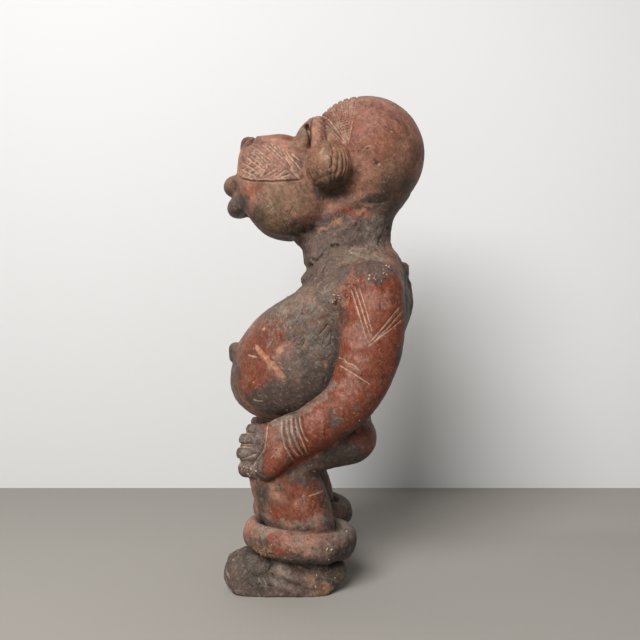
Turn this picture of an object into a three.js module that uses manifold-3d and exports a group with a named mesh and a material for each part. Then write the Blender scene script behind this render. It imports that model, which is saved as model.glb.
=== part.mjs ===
// A fired clay house figure in the manner of the Cameroon grasslands, modelled by hand as one piece:
// a squat standing man with his head thrown back, blown-out cheeks, pouting lips, ribbed ears,
// a great belly with a knob of a navel, hands clasping the knees and a thick ring on each ankle.
// Units are millimetres. +Z is up, the figure faces -Y and its left side is +X.
// The origin is on the ground, under the middle of the figure's bounding box.

import * as THREE from "three";
import { mergeVertices } from "three/addons/utils/BufferGeometryUtils.js";
import Module from "manifold-3d";

const wasm = await Module();
wasm.setup();

// Driving dimensions
const legSpread = 58; // from the middle plane to the middle of a leg
const soleTop = 40; // thickness of the foot at the toes
const skull = { y: 50, z: 489.5, half: 65, radius: 69 };
const cheek = { x: 25, y: -47, z: 450, half: 36, foreAft: 54, tall: 61, tiltDeg: 25 };
const earHinge = { y: 26.4, z: 485.7 }; // the plaits of the fringe fan out from here, on each side of the head
const fringe = { plaits: 6, fromDeg: 131, toDeg: 80, rise: 1.6, inset: 8, half: 56 };
const ear = { x: 54, y: 5.5, z: 465.5, reach: 32, half: 25.5, tall: 25.5, ribs: 9, groove: 0.13 };
const ankleRing = { y: -26.5, z: 56, foreAft: 52, lateral: 40, thick: 11, tall: 16, tiltDeg: 5 };
const bracelets = { from: 4.45, to: 5.35, count: 4, height: 2.2 }; // from and to count the arm's own stations

// Reads a list of equal rows of numbers as a smooth curve: t runs from 0 to the last row's index.
function smooth(rows, t) {
  const last = rows.length - 1;
  const i = Math.min(Math.floor(t), last - 1);
  const f = t - i;
  const row = (k) => rows[THREE.MathUtils.clamp(k, 0, last)];
  return rows[0].map((_, c) => {
    const [a, b, d, e] = [row(i - 1)[c], row(i)[c], row(i + 1)[c], row(i + 2)[c]];
    const slope0 = (d - a) / 2;
    const slope1 = (e - b) / 2;
    const rise = d - b;
    return b + f * (slope0 + f * (3 * rise - 2 * slope0 - slope1 + f * (slope0 + slope1 - 2 * rise)));
  });
}

// Closes a stack of rings of points into a skin. Each ring turns anticlockwise about the way the stack runs.
function skin(rings) {
  const sides = rings[0].length;
  const points = rings.flat();
  const faces = [];
  for (let i = 0; i + 1 < rings.length; i++)
    for (let j = 0; j < sides; j++) {
      const k = (j + 1) % sides;
      const [a, b, c, d] = [i * sides + j, i * sides + k, (i + 1) * sides + k, (i + 1) * sides + j];
      faces.push(a, b, c, a, c, d);
    }
  const middle = (ring) => ring.reduce((s, p) => s.add(p), new THREE.Vector3()).divideScalar(sides);
  const start = points.push(middle(rings[0])) - 1;
  const end = points.push(middle(rings[rings.length - 1])) - 1;
  const top = (rings.length - 1) * sides;
  for (let j = 0; j < sides; j++) {
    const k = (j + 1) % sides;
    faces.push(start, k, j, end, top + j, top + k);
  }
  const geometry = new THREE.BufferGeometry().setFromPoints(points);
  geometry.setIndex(faces);
  return geometry;
}

// A limb: oval sections along a path of rows [x, y, z, half width along side, half width across it].
// The sections stand at the stops, which count the path's rows, or at a number of even steps.
// Both ends are domed: domes gives each dome's height in half widths, caps the number of sections in it.
function limb(rows, { rings, stops, sides, side = [1, 0, 0], domes = [1, 1], caps = [2, 2], ripple = () => 0 }) {
  const stack = [];
  const last = rows.length - 1;
  const places = stops ?? Array.from({ length: rings }, (_, i) => (last * i) / (rings - 1));
  const section = (t, shrink, push) => {
    const [x, y, z, a, b] = smooth(rows, t);
    const before = smooth(rows, Math.max(t - 0.01, 0));
    const after = smooth(rows, Math.min(t + 0.01, last));
    const way = new THREE.Vector3(after[0] - before[0], after[1] - before[1], after[2] - before[2]).normalize();
    const u = new THREE.Vector3(...side).addScaledVector(way, -way.dot(new THREE.Vector3(...side))).normalize();
    const v = new THREE.Vector3().crossVectors(way, u);
    const centre = new THREE.Vector3(x, y, z).addScaledVector(way, (push * (a + b)) / 2);
    const swell = ripple(t);
    return Array.from({ length: sides }, (_, j) => {
      const turn = (2 * Math.PI * j) / sides;
      return centre
        .clone()
        .addScaledVector(u, (a + swell) * shrink * Math.cos(turn))
        .addScaledVector(v, (b + swell) * shrink * Math.sin(turn));
    });
  };
  const dome = (t, depth, count) => {
    for (let k = 1; k <= count; k++) {
      const rise = ((Math.PI / 2) * k) / (count + 0.35);
      stack.push(section(t, Math.cos(rise), depth * Math.sin(rise)));
    }
  };
  dome(0, -domes[0], caps[0]);
  stack.reverse();
  for (const t of places) stack.push(section(t, 1, 0));
  dome(last, domes[1], caps[1]);
  return skin(stack);
}

// A lump: an ellipsoid, turned about the side-to-side axis.
function lump([x, y, z], [rx, ry, rz], { across = 12, down = 8, tiltDeg = 0 } = {}) {
  return new THREE.SphereGeometry(1, across, down)
    .scale(rx, ry, rz)
    .rotateX(THREE.MathUtils.degToRad(tiltDeg))
    .translate(x, y, z);
}

// The trunk and neck: level sections, each [z, front, widest place, back, half width], rounded like an egg.
function trunk() {
  const levels = [
    [440, -8, 34, 97, 42],
    [428, -14, 32, 91, 45],
    [416, -19, 30, 84, 46],
    [398, -25, 28, 80, 45],
    [384, -27, 27, 81, 45],
    [370, -24, 30, 90, 50],
    [355, -21, 36, 95, 69],
    [341, -21, 38, 98, 88],
    [328, -33, 34, 101, 93],
    [312, -59, 22, 102, 88],
    [292, -83, 6, 99, 80],
    [268, -100, -10, 90, 75],
    [244, -107.5, -22, 77, 75],
    [222, -110, -30, 66, 74],
    [206, -106, -34, 58, 70],
    [193, -96, -34, 54, 63],
    [182, -80, -32, 50, 51],
    [174, -56, -28, 40, 34],
  ];
  const rings = 18;
  const sides = 22;
  const stack = Array.from({ length: rings }, (_, i) => {
    const [z, front, widest, back, half] = smooth(levels, ((levels.length - 1) * i) / (rings - 1));
    return Array.from({ length: sides }, (_, j) => {
      const turn = (2 * Math.PI * j) / sides;
      const reach = Math.sin(turn) > 0 ? back - widest : widest - front;
      return new THREE.Vector3(half * Math.cos(turn), widest + reach * Math.sin(turn), z);
    });
  });
  return skin(stack.reverse());
}

// The head: a bald skull and the muzzle that carries the cheeks.
function head() {
  return [
    lump([0, skull.y, skull.z], [skull.half, skull.radius, skull.radius], { across: 22, down: 13 }),
    limb(
      [
        [0, cheek.y + 2, cheek.z + 1, 52, 56],
        [0, -8, 460, 50, 51],
        [0, 30, 473, 50, 52],
      ],
      { rings: 5, sides: 18, domes: [0.98, 0], caps: [4, 0] },
    ),
  ];
}

// Half of what the head carries on the figure's own side: a ball of a cheek, an eye and a ribbed ear.
function sideOfHead(s) {
  const { x, y, z, half, foreAft, tall, tiltDeg } = cheek;
  return [
    lump([x * s, y, z], [half, foreAft, tall], { across: 16, down: 9, tiltDeg }),
    lump([26 * s, -15, 504], [21, 14, 19], { across: 10, down: 7, tiltDeg: -35 }),
    ribbed([ear.x * s, ear.y, ear.z], [ear.reach * s, ear.half * s, ear.tall], ear.ribs, ear.groove),
  ];
}

// A ball with upright ribs, like a clenched fist or a gourd: every third corner sinks into a groove,
// whose depth is a share of the ball's half width.
function ribbed([x, y, z], [rx, ry, rz], ribs, groove) {
  const sides = ribs * 3;
  const levels = 6;
  const stack = Array.from({ length: levels }, (_, i) => {
    const rise = Math.PI * ((i + 0.6) / (levels + 0.2)) - Math.PI / 2;
    return Array.from({ length: sides }, (_, j) => {
      const turn = (2 * Math.PI * j) / sides;
      const width = Math.cos(rise) * (j % 3 ? 1 : 1 - groove);
      return new THREE.Vector3(x + rx * width * Math.cos(turn), y + ry * width * Math.sin(turn), z + rz * Math.sin(rise));
    });
  });
  return skin(stack);
}

// What sits on the middle of the face: the brow, the nose and the two pouting lips.
function middleOfFace() {
  const brow = Array.from({ length: 7 }, (_, i) => {
    const turn = (Math.PI * i) / 6;
    return [57 * Math.cos(turn), 1 - 2 * Math.sin(turn), 482 + 48 * Math.sin(turn), 8, 7.6];
  });
  const nose = [
    [0, -88, 498, 15, 12],
    [0, -62, 500, 12, 11],
    [0, -24, 501, 15, 12],
  ];
  const parts = [
    limb(brow, { rings: 11, sides: 6, side: [0, 1, 0], caps: [1, 1] }),
    limb(nose, { rings: 4, sides: 9, domes: [0.75, 0], caps: [2, 0] }),
  ];
  for (const s of [-1, 1]) parts.push(lump([11 * s, -88, 492], [10.5, 10, 9], { across: 8, down: 5 }));
  const lip = (tip, root, z, drop, radius) =>
    limb(
      [-1, -0.55, 0, 0.55, 1].map((f) => {
        const thick = radius * (1 - 0.25 * f * f);
        return [26 * f, tip + (root - tip) * f * f, z + drop * f * f, thick, thick];
      }),
      { rings: 7, sides: 8, side: [0, 1, 0], caps: [1, 1] },
    );
  parts.push(lip(-107.5, -93, 454, 2, 11.5), lip(-103, -88, 425.5, 6, 11));
  // The back of the open mouth joins the two lips.
  parts.push(lump([0, -92, 441], [20, 12, 14], { across: 8, down: 5 }));
  return parts;
}

// A point lifted off the skull at x from the middle, on a plane that leans about the line of the ear hinges.
function overSkull(x, leanDeg, lift) {
  const lean = THREE.MathUtils.degToRad(leanDeg);
  const way = [Math.cos(lean), Math.sin(lean)];
  const off = [earHinge.y - skull.y, earHinge.z - skull.z];
  const room = (skull.radius + lift) ** 2 * (1 - (x / (skull.half + lift)) ** 2);
  const half = off[0] * way[0] + off[1] * way[1];
  const reach = -half + Math.sqrt(Math.max(half * half - off[0] ** 2 - off[1] ** 2 + room, 0));
  return new THREE.Vector3(x, earHinge.y + reach * way[0], earHinge.z + reach * way[1]);
}

// Plaits of hair fan over the forehead from ear to ear: a cap whose skin is scalloped across the fan.
function plaits() {
  const stack = [-1, -0.86, -0.6, -0.3, 0, 0.3, 0.6, 0.86, 1].map((f) => {
    const x = fringe.half * f;
    const height = 1 - f ** 6;
    const ring = [];
    for (let k = 0; k <= 2 * fringe.plaits; k++) {
      const lean = fringe.toDeg + ((fringe.fromDeg - fringe.toDeg) * k) / (2 * fringe.plaits);
      ring.push(overSkull(x, lean, (k % 2 ? fringe.rise : -0.4) * height - 3 * (1 - height)));
    }
    ring.push(overSkull(x, fringe.fromDeg, -fringe.inset), overSkull(x, fringe.toDeg, -fringe.inset));
    return ring;
  });
  return skin(stack);
}

// An arm from shoulder to wrist, with bracelets, and a hand whose fingers clasp the knee.
function arm(s) {
  const rows = [
    [82, 52, 324, 29, 33],
    [87, 52, 286, 28, 34],
    [90, 44.5, 246, 27, 32.5],
    [89, 25, 208, 26, 28],
    [85, -9, 182, 24, 25],
    [81, -36, 168, 20, 24],
    [77, -55, 156, 16, 29],
  ].map(([x, ...rest]) => [x * s, ...rest]);
  const ripple = (t) => {
    const along = (t - bracelets.from) / (bracelets.to - bracelets.from);
    if (along < 0 || along > 1) return 0;
    return bracelets.height * (0.5 - 0.5 * Math.cos(2 * Math.PI * bracelets.count * along));
  };
  const turns = 2 * bracelets.count;
  const stops = [0, 0.7, 1.4, 2.1, 2.7, 3.3, 3.9];
  for (let i = 0; i <= turns; i++) stops.push(bracelets.from + ((bracelets.to - bracelets.from) * i) / turns);
  stops.push(6);
  const parts = [limb(rows, { stops, sides: 12, domes: [1.05, 0.4], caps: [2, 1], ripple })];
  // Four fingers one above the other, thicker from the top down, reach forward round the knee.
  const fingers = [
    { z: 176.5, tip: -86, thick: 5.8 },
    { z: 165, tip: -94, thick: 7 },
    { z: 150.5, tip: -97, thick: 8.4 },
    { z: 133.5, tip: -95, thick: 9 },
  ];
  for (const { z, tip, thick } of fingers) {
    const rows = [
      [76 * s, -54, z - 2, thick, thick],
      [75 * s, -72, z, thick * 1.06, thick * 1.04],
      [66 * s, tip + thick, z - 1, thick, thick],
    ];
    parts.push(limb(rows, { rings: 3, sides: 7, side: [0, 0, 1], caps: [0, 2] }));
  }
  const thumb = [
    [86 * s, -39, 157, 10.5, 13.5],
    [87 * s, -52, 144, 11, 13],
    [82 * s, -63, 132, 10, 10.5],
  ];
  parts.push(limb(thumb, { rings: 3, sides: 8, caps: [0, 2] }));
  return parts;
}

// A leg: buttock, thigh, knee, shin, the ring on the ankle and the block of a foot.
function leg(s) {
  const x = legSpread * s;
  const thigh = limb(
    [
      [46 * s, 26, 163, 36, 30],
      [54 * s, -8, 156, 32, 29.5],
      [x, -40, 144, 30, 31],
    ],
    { rings: 4, sides: 13, domes: [1, 0.9], caps: [2, 1] },
  );
  const shin = limb(
    [
      [x, -49, 136, 31, 35],
      [x, -44, 118, 31, 37],
      [x, -35.5, 97, 31, 38.5],
      [x, -26, 70, 31, 37],
      [x, -24, 34, 31, 36],
    ],
    { rings: 6, sides: 12, domes: [0.8, 0.1], caps: [2, 0] },
  );
  return [thigh, shin, anklet(s), foot(s)];
}

// The ring on an ankle: upright oval sections round an oval, tipped up at the front.
function anklet(s) {
  const { y, z, foreAft, lateral, thick, tall, tiltDeg } = ankleRing;
  const [turns, sides] = [18, 8];
  const points = [];
  const faces = [];
  for (let i = 0; i < turns; i++) {
    const turn = (2 * Math.PI * i) / turns;
    for (let j = 0; j < sides; j++) {
      const round = (2 * Math.PI * j) / sides;
      const out = thick * Math.cos(round);
      points.push(
        new THREE.Vector3((lateral + out) * Math.cos(turn), (foreAft + out) * Math.sin(turn), tall * Math.sin(round)),
      );
      const [k, l] = [((i + 1) % turns) * sides, (j + 1) % sides];
      faces.push(i * sides + j, k + j, k + l, i * sides + j, k + l, i * sides + l);
    }
  }
  const ring = new THREE.BufferGeometry().setFromPoints(points);
  ring.setIndex(faces);
  return ring.rotateX(THREE.MathUtils.degToRad(-tiltDeg)).translate(legSpread * s, y, z);
}

// A foot is a block with rounded corners: level sections, each [z, shrink], closed flat underneath.
// The right foot is a little shorter than the left.
function foot(s) {
  const half = { x: 32, y: s > 0 ? 67 : 59 };
  const middle = { x: legSpread * s, y: s > 0 ? -43.5 : -34 };
  const levels = [
    [0, 0.965],
    [3, 0.985],
    [12, 1],
    [30, 0.98],
    [soleTop - 1, 0.88],
    [soleTop + 2, 0.7],
  ];
  const sides = 20;
  const squareness = 0.62;
  const bend = (value) => Math.sign(value) * Math.abs(value) ** squareness;
  const stack = levels.map(([z, shrink]) =>
    Array.from({ length: sides }, (_, j) => {
      const turn = (2 * Math.PI * j) / sides;
      const along = bend(Math.sin(turn));
      const narrow = 1 - 0.1 * Math.max(along, 0);
      return new THREE.Vector3(
        middle.x + half.x * shrink * narrow * bend(Math.cos(turn)),
        middle.y + (half.y - half.x * (1 - shrink)) * along,
        z,
      );
    }),
  );
  return skin(stack);
}

// Small things on the trunk: the navel, the bar at the throat, the knotted ridge on the back and the hips.
function onTheTrunk() {
  return [
    limb(
      [
        [0, -99, 257, 9, 9],
        [0, -107, 257.5, 8.5, 9.5],
      ],
      { rings: 2, sides: 10, domes: [0, 0.55], caps: [0, 2] },
    ),
    limb(
      [
        [27, 2, 341, 6, 6],
        [17, -13, 342, 7.5, 7.5],
        [0, -18, 343, 8, 8],
        [-17, -13, 342, 7.5, 7.5],
        [-27, 2, 341, 6, 6],
      ],
      { rings: 8, sides: 7, side: [0, 0, 1], caps: [1, 1] },
    ),
    lump([0, 94, 352], [15, 9, 12], { across: 8, down: 5 }),
    limb(
      [
        [0, 93, 334, 14, 9],
        [0, 96, 312, 16, 10],
        [0, 89, 288, 12, 8],
      ],
      { rings: 5, sides: 9 },
    ),
    lump([0, 18, 172], [62, 38, 30], { across: 12, down: 7 }),
  ];
}

// Turns a geometry into a solid that can be joined.
function solid(geometry) {
  const bare = geometry.index ? geometry.clone() : geometry;
  bare.deleteAttribute("normal");
  bare.deleteAttribute("uv");
  const merged = mergeVertices(bare, 1e-4);
  return new wasm.Manifold(
    new wasm.Mesh({
      numProp: 3,
      vertProperties: new Float32Array(merged.attributes.position.array),
      triVerts: new Uint32Array(merged.index.array),
    }),
  );
}

function build() {
  const forms = [trunk(), ...head(), ...middleOfFace(), plaits(), ...onTheTrunk()];
  for (const s of [-1, 1]) forms.push(...sideOfHead(s), ...arm(s), ...leg(s));
  const whole = forms.map(solid).reduce((sum, form) => sum.add(form));
  const { vertProperties, triVerts } = whole.getMesh();
  const geometry = new THREE.BufferGeometry()
    .setAttribute("position", new THREE.BufferAttribute(vertProperties, 3))
    .setIndex(new THREE.BufferAttribute(triVerts, 1));
  geometry.computeVertexNormals();
  return geometry;
}

const clay = new THREE.MeshStandardMaterial({ color: 0x7a4a3a, roughness: 0.78, metalness: 0 });
const figure = new THREE.Mesh(build(), clay);
figure.name = "figure";

const part = new THREE.Group();
part.add(figure);

export default part;
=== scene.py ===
"""A fired clay house figure in the manner of the Cameroon grasslands, laid out as a Blender add-on.

The figure is modelled the way a potter would: masses of clay are pressed on a grid of distances and
smoothed into each other, the skin of that clay becomes a mesh, and the marks of the tool are cut
into it. Shapes are in millimetres until the mesh is made, and +Z is up, the figure faces -Y and its
left side is +X.
"""

import itertools
import math
from collections import namedtuple

import bpy
import numpy as np
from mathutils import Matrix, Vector


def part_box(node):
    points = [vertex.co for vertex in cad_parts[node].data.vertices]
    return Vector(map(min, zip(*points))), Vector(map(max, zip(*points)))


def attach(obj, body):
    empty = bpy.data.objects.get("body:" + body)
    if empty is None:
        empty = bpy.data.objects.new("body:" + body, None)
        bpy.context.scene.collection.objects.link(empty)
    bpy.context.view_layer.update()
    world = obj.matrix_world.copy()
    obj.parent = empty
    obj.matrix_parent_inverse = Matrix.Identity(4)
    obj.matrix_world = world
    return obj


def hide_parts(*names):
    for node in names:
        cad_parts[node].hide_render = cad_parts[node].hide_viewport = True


bl_info = {
    "name": "Clay House Figure",
    "version": (1, 0, 0),
    "blender": (4, 5, 0),
    "location": "View3D > Sidebar > Clay Figure",
    "description": "Models a fired clay house figure with its worn slip, crust and tool marks",
    "category": "Add Mesh",
}

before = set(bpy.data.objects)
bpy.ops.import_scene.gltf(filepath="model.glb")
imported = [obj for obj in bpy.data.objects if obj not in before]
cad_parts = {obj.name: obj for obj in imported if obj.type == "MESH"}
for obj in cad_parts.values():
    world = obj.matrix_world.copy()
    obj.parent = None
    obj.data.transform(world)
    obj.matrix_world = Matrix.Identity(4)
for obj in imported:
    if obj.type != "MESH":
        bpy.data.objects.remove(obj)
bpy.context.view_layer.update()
BODY = "root"
MM = 0.001
SIDES = (-1, 1)
# In millimetres: what counts as far from any clay, how far the grid goes past the figure's box, and how
# far past a form its fillet is worked out where the blend differs from place to place.
FAR = 30.0
MARGIN = 5
VARIED_REACH = 14


def linear(hex_colour, alpha=None):
    """Turns an sRGB hex colour into linear numbers, with an alpha where one is asked for."""
    parts = [int(hex_colour[i : i + 2], 16) / 255 for i in (1, 3, 5)]
    colour = [c / 12.92 if c <= 0.04045 else ((c + 0.055) / 1.055) ** 2.4 for c in parts]
    return tuple(colour) if alpha is None else (*colour, alpha)


def smooth(rows, t):
    """Reads equal rows of numbers as a smooth curve; t counts the rows."""
    rows = np.asarray(rows, float)
    t = np.asarray(t, float)
    last = len(rows) - 1
    i = np.minimum(np.floor(t).astype(int), last - 1)
    f = (t - i)[..., None]
    a, b, d, e = (rows[np.clip(i + k, 0, last)] for k in (-1, 0, 1, 2))
    slope0, slope1, rise = (d - a) / 2, (e - b) / 2, d - b
    return b + f * (slope0 + f * (3 * rise - 2 * slope0 - slope1 + f * (slope0 + slope1 - 2 * rise)))


def step_up(low, high, value):
    """Rises smoothly from 0 at low to 1 at high."""
    f = np.clip((value - low) / (high - low), 0, 1)
    return f * f * (3 - 2 * f)


def lumps(points, size, seed):
    """Smooth random numbers from -1 to 1 at the points, in lumps of about the size given."""
    table = np.random.default_rng(seed).uniform(-1, 1, (32, 32, 32)).astype(np.float32)
    spot = points / size
    cell = np.floor(spot).astype(int)
    f = spot - cell
    f = f * f * (3 - 2 * f)
    total = np.zeros(len(points))
    for corner in itertools.product((0, 1), repeat=3):
        weight = np.prod(np.where(corner, f, 1 - f), axis=1)
        total += weight * table[tuple(((cell + corner) % 32).T)]
    return total


# A form to press on the clay: its lowest and highest corner, and its distance at X, Y and Z.
Form = namedtuple("Form", "low high distance")


def oval_distance(offsets, radii):
    """About how far a point is outside an oval, from its offsets along the axes and the radii there."""
    near = sum((o / r) ** 2 for o, r in zip(offsets, radii))
    steep = sum((o / (r * r)) ** 2 for o, r in zip(offsets, radii))
    near = np.sqrt(near)
    return near * (near - 1) / np.sqrt(np.maximum(steep, 1e-9))


def ball(centre, radii, tilt_deg=0.0):
    """An ellipsoid, turned about the side-to-side axis: a positive tilt brings its top forward."""
    centre, radii = np.array(centre, float), np.array(radii, float)
    c, s = math.cos(math.radians(tilt_deg)), math.sin(math.radians(tilt_deg))

    def distance(x, y, z):
        u, v, w = x - centre[0], y - centre[1], z - centre[2]
        return oval_distance((u, c * v + s * w, c * w - s * v), radii)

    reach = np.array([radii[0], radii[1:].max(), radii[1:].max()])
    return Form(centre - reach, centre + reach, distance)


def block(centre, radii, power):
    """A block with rounded corners: the higher the power, the squarer it is."""
    centre, radii = np.array(centre, float), np.array(radii, float)

    def distance(x, y, z):
        offsets = [np.abs(p - c) + 1e-3 for p, c in zip((x, y, z), centre)]
        near = sum((o / r) ** power for o, r in zip(offsets, radii)) ** (1 / power)
        steep = sum((o ** (power - 1) / r**power) ** 2 for o, r in zip(offsets, radii))
        return (near - 1) * near ** (power - 1) / np.sqrt(np.maximum(steep, 1e-12))

    return Form(centre - radii, centre + radii, distance)


def limb(rows, side=(1, 0, 0), domes=(1.0, 1.0), steps=24, swell=None):
    """Oval sections along a smooth path of rows: x, y, z, half width along side, half width across it."""
    rows = np.array(rows, float)
    t = np.linspace(0, len(rows) - 1, steps + 1)
    path = smooth(rows, t)
    if swell is not None:
        path[:, 3:] += swell(t)[:, None]
    ends = np.ones(len(path))
    ends[0], ends[-1] = domes

    def distance(x, y, z):
        axes = (x.ravel(), y.ravel(), z.ravel())
        out = np.full([len(a) for a in axes], FAR, np.float32)
        for k in range(steps):
            a, b = path[k], path[k + 1]
            reach = max(a[3:].max(), b[3:].max()) * 1.1 + 12
            spans = [
                slice(*np.searchsorted(axis, (min(a[i], b[i]) - reach, max(a[i], b[i]) + reach)))
                for i, axis in enumerate(axes)
            ]
            part = np.ix_(*(axis[span] for axis, span in zip(axes, spans)))
            length = np.linalg.norm(b[:3] - a[:3])
            way = (b[:3] - a[:3]) / length
            u = np.array(side) - way * np.dot(way, side)
            u /= np.linalg.norm(u)
            v = np.cross(way, u)
            off = [p - c for p, c in zip(part, a[:3])]
            along = sum(o * w for o, w in zip(off, way)) / length
            f = np.clip(along, 0, 1)
            beyond = (along - f) * length
            across = a[3] + (b[3] - a[3]) * f, a[4] + (b[4] - a[4]) * f
            cap = (across[0] + across[1]) / 2 * (ends[k] + (ends[k + 1] - ends[k]) * f)
            offsets = (sum(o * w for o, w in zip(off, u)), sum(o * w for o, w in zip(off, v)), beyond)
            here = out[tuple(spans)]
            np.minimum(here, oval_distance(offsets, (*across, cap)), out=here)
        return out

    reach = path[:, 3:].max(axis=1)[:, None] * 1.1
    return Form((path[:, :3] - reach).min(axis=0), (path[:, :3] + reach).max(axis=0), distance)


def hoop(centre, lateral, fore_aft, thick, tall, tilt_deg):
    """An oval ring lying level, with an upright oval section, its front raised by the tilt."""
    centre = np.array(centre, float)
    c, s = math.cos(math.radians(tilt_deg)), math.sin(math.radians(tilt_deg))

    def distance(x, y, z):
        u, v, w = x - centre[0], y - centre[1], z - centre[2]
        v, w = c * v - s * w, s * v + c * w
        out = oval_distance((u, v), (lateral, fore_aft)) + 0 * w
        return oval_distance((out, w + 0 * out), (thick, tall))

    reach = np.array([lateral + thick, fore_aft + thick, tall + 8])
    return Form(centre - reach, centre + reach, distance)


def beyond_plane(point, normal, low, high):
    """All that lies past a plane, between two corners: the normal points into it."""
    normal = np.array(normal, float) / np.linalg.norm(normal)

    def distance(x, y, z):
        return -sum((p - c) * n for p, c, n in zip((x, y, z), point, normal))

    return Form(np.array(low, float), np.array(high, float), distance)


def mirrored(form):
    """The same form on the figure's other side."""
    low, high = form.low * (-1, 1, 1), form.high * (-1, 1, 1)

    def distance(x, y, z):
        return form.distance(-x[::-1], y, z)[::-1]

    return Form(np.minimum(low, high), np.maximum(low, high), distance)


class Clay:
    """A block of space as distances in millimetres on a regular grid: below zero is clay."""

    def __init__(self, low, high, step):
        self.low = np.array(low, float)
        self.step = step
        counts = np.ceil((np.array(high, float) - self.low) / step).astype(int) + 1
        self.field = np.full(counts, FAR, np.float32)

    def window(self, low, high):
        """The part of the grid between two corners, and its X, Y and Z."""
        first = np.floor((np.array(low) - self.low) / self.step).astype(int)
        last = np.ceil((np.array(high) - self.low) / self.step).astype(int) + 1
        first, last = np.maximum(first, 0), np.minimum(last, self.field.shape)
        axes = [self.low[a] + self.step * np.arange(first[a], last[a]) for a in range(3)]
        xyz = np.meshgrid(*[a.astype(np.float32) for a in axes], indexing="ij", sparse=True)
        return tuple(slice(a, b) for a, b in zip(first, last)), xyz

    def add(self, form, blend=2.0):
        """Joins a form to the clay. blend is the reach of the fillet, or a function that gives it."""
        reach = VARIED_REACH if callable(blend) else blend + 2
        place, xyz = self.window(form.low - reach, form.high + reach)
        k = np.maximum(blend(*xyz) if callable(blend) else blend, 1e-3)
        mine, theirs = self.field[place], form.distance(*xyz)
        fillet = np.maximum(k - np.abs(mine - theirs), 0)
        self.field[place] = np.minimum(mine, theirs) - fillet * fillet / (4 * k)

    def cut(self, form, blend=1.5):
        """Takes a form out of the clay, with its edge rounded by the blend."""
        place, xyz = self.window(form.low - blend - 2, form.high + blend + 2)
        mine, theirs = self.field[place], -form.distance(*xyz)
        fillet = np.maximum(blend - np.abs(mine - theirs), 0)
        self.field[place] = np.maximum(mine, theirs) + fillet * fillet / (4 * blend)

    def both(self, form, blend=2.0):
        """Joins a form and its mirror image."""
        self.add(form, blend)
        self.add(mirrored(form), blend)

    def flatten_sole(self):
        """Stands the clay on the ground."""
        place, xyz = self.window(self.low, (1e3, 1e3, 6))
        self.field[place] = np.maximum(self.field[place], -xyz[2])

    def at(self, points):
        """The distance at each point, read between the grid's corners."""
        spot = np.clip((points - self.low) / self.step, 0, np.array(self.field.shape) - 1.001)
        cell = spot.astype(int)
        f = spot - cell
        total = np.zeros(len(points))
        for corner in itertools.product((0, 1), repeat=3):
            weight = np.prod(np.where(corner, f, 1 - f), axis=1)
            total += weight * self.field[tuple((cell + corner).T)]
        return total

    def skin(self):
        """Points and four-cornered faces of the surface: one point in each cell that it crosses."""
        inside = self.field < 0
        corners = list(itertools.product((0, 1), repeat=3))
        shape = np.array(self.field.shape) - 1
        count = np.zeros(shape, np.int8)
        for corner in corners:
            count += inside[tuple(slice(c, c + n) for c, n in zip(corner, shape))]
        cells = np.flatnonzero((count > 0) & (count < 8))
        place = np.stack(np.unravel_index(cells, shape), axis=1)
        values = {corner: self.field[tuple((place + corner).T)] for corner in corners}
        total, crossed = np.zeros(place.shape), np.zeros(len(place))
        for corner, axis in itertools.product(corners, range(3)):
            if corner[axis]:
                continue
            other = tuple(1 if i == axis else c for i, c in enumerate(corner))
            a, b = values[corner], values[other]
            cross = (a < 0) != (b < 0)
            f = np.where(cross, a / np.where(cross, a - b, 1), 0)
            total += cross[:, None] * np.array(corner)
            total[:, axis] += f
            crossed += cross
        points = self.low + self.step * (place + total / crossed[:, None])
        strides = np.array([shape[1] * shape[2], shape[2], 1])
        faces = []
        for axis in range(3):
            u, v = (axis + 1) % 3, (axis + 2) % 3
            lower = [slice(1, None)] * 3
            upper = [slice(1, None)] * 3
            lower[axis], upper[axis] = slice(0, -1), slice(1, None)
            a, b = inside[tuple(lower)], inside[tuple(upper)]
            for differ, order in (((a & ~b), (0, 1, 2, 3)), ((b & ~a), (3, 2, 1, 0))):
                spot = np.stack(np.nonzero(differ), axis=1) + 1
                spot[:, axis] -= 1
                spot = spot[(spot[:, u] < shape[u]) & (spot[:, v] < shape[v])] @ strides
                around = [-strides[u] - strides[v], -strides[v], 0, -strides[u]]
                faces.append(np.stack([spot + around[k] for k in order], axis=1))
        return points, np.searchsorted(cells, np.concatenate(faces))


def relax(points, faces, turns):
    """Moves each point half way to the middle of its neighbours."""
    for _ in range(turns):
        total, count = np.zeros_like(points), np.zeros(len(points))
        for a, b in ((0, 1), (1, 2), (2, 3), (3, 0)):
            for one, two in ((faces[:, a], faces[:, b]), (faces[:, b], faces[:, a])):
                count += np.bincount(one, minlength=len(points))
                for axis in range(3):
                    total[:, axis] += np.bincount(one, points[two, axis], len(points))
        points = points + 0.5 * (total / count[:, None] - points)
    return points


def normals_of(points, faces):
    """The outward normal at each point."""
    cross = np.cross(points[faces[:, 2]] - points[faces[:, 0]], points[faces[:, 3]] - points[faces[:, 1]])
    total = np.zeros_like(points)
    for corner, axis in itertools.product(range(faces.shape[1]), range(3)):
        total[:, axis] += np.bincount(faces[:, corner], cross[:, axis], len(points))
    return total / np.maximum(np.linalg.norm(total, axis=1), 1e-9)[:, None]


# The figure's forms, in millimetres.
SKULL = {"y": 50.0, "z": 489.5, "half": 65.0, "radius": 69.0}
EAR = {"centre": (54.0, 5.5, 465.5), "radii": (32.0, 25.5, 25.5)}
EAR_GROOVES_DEG = (-74, -52, -40, -30, 7, 19, 31, 42, 55, 71)
HINGE = {"y": 26.4, "z": 485.7}
PLAIT_EDGES_DEG = (80.3, 87.6, 93.9, 99.4, 105.8, 113.0, 120.5, 131.0, 142.0)
TICK_SPACING = 4.0
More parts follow.
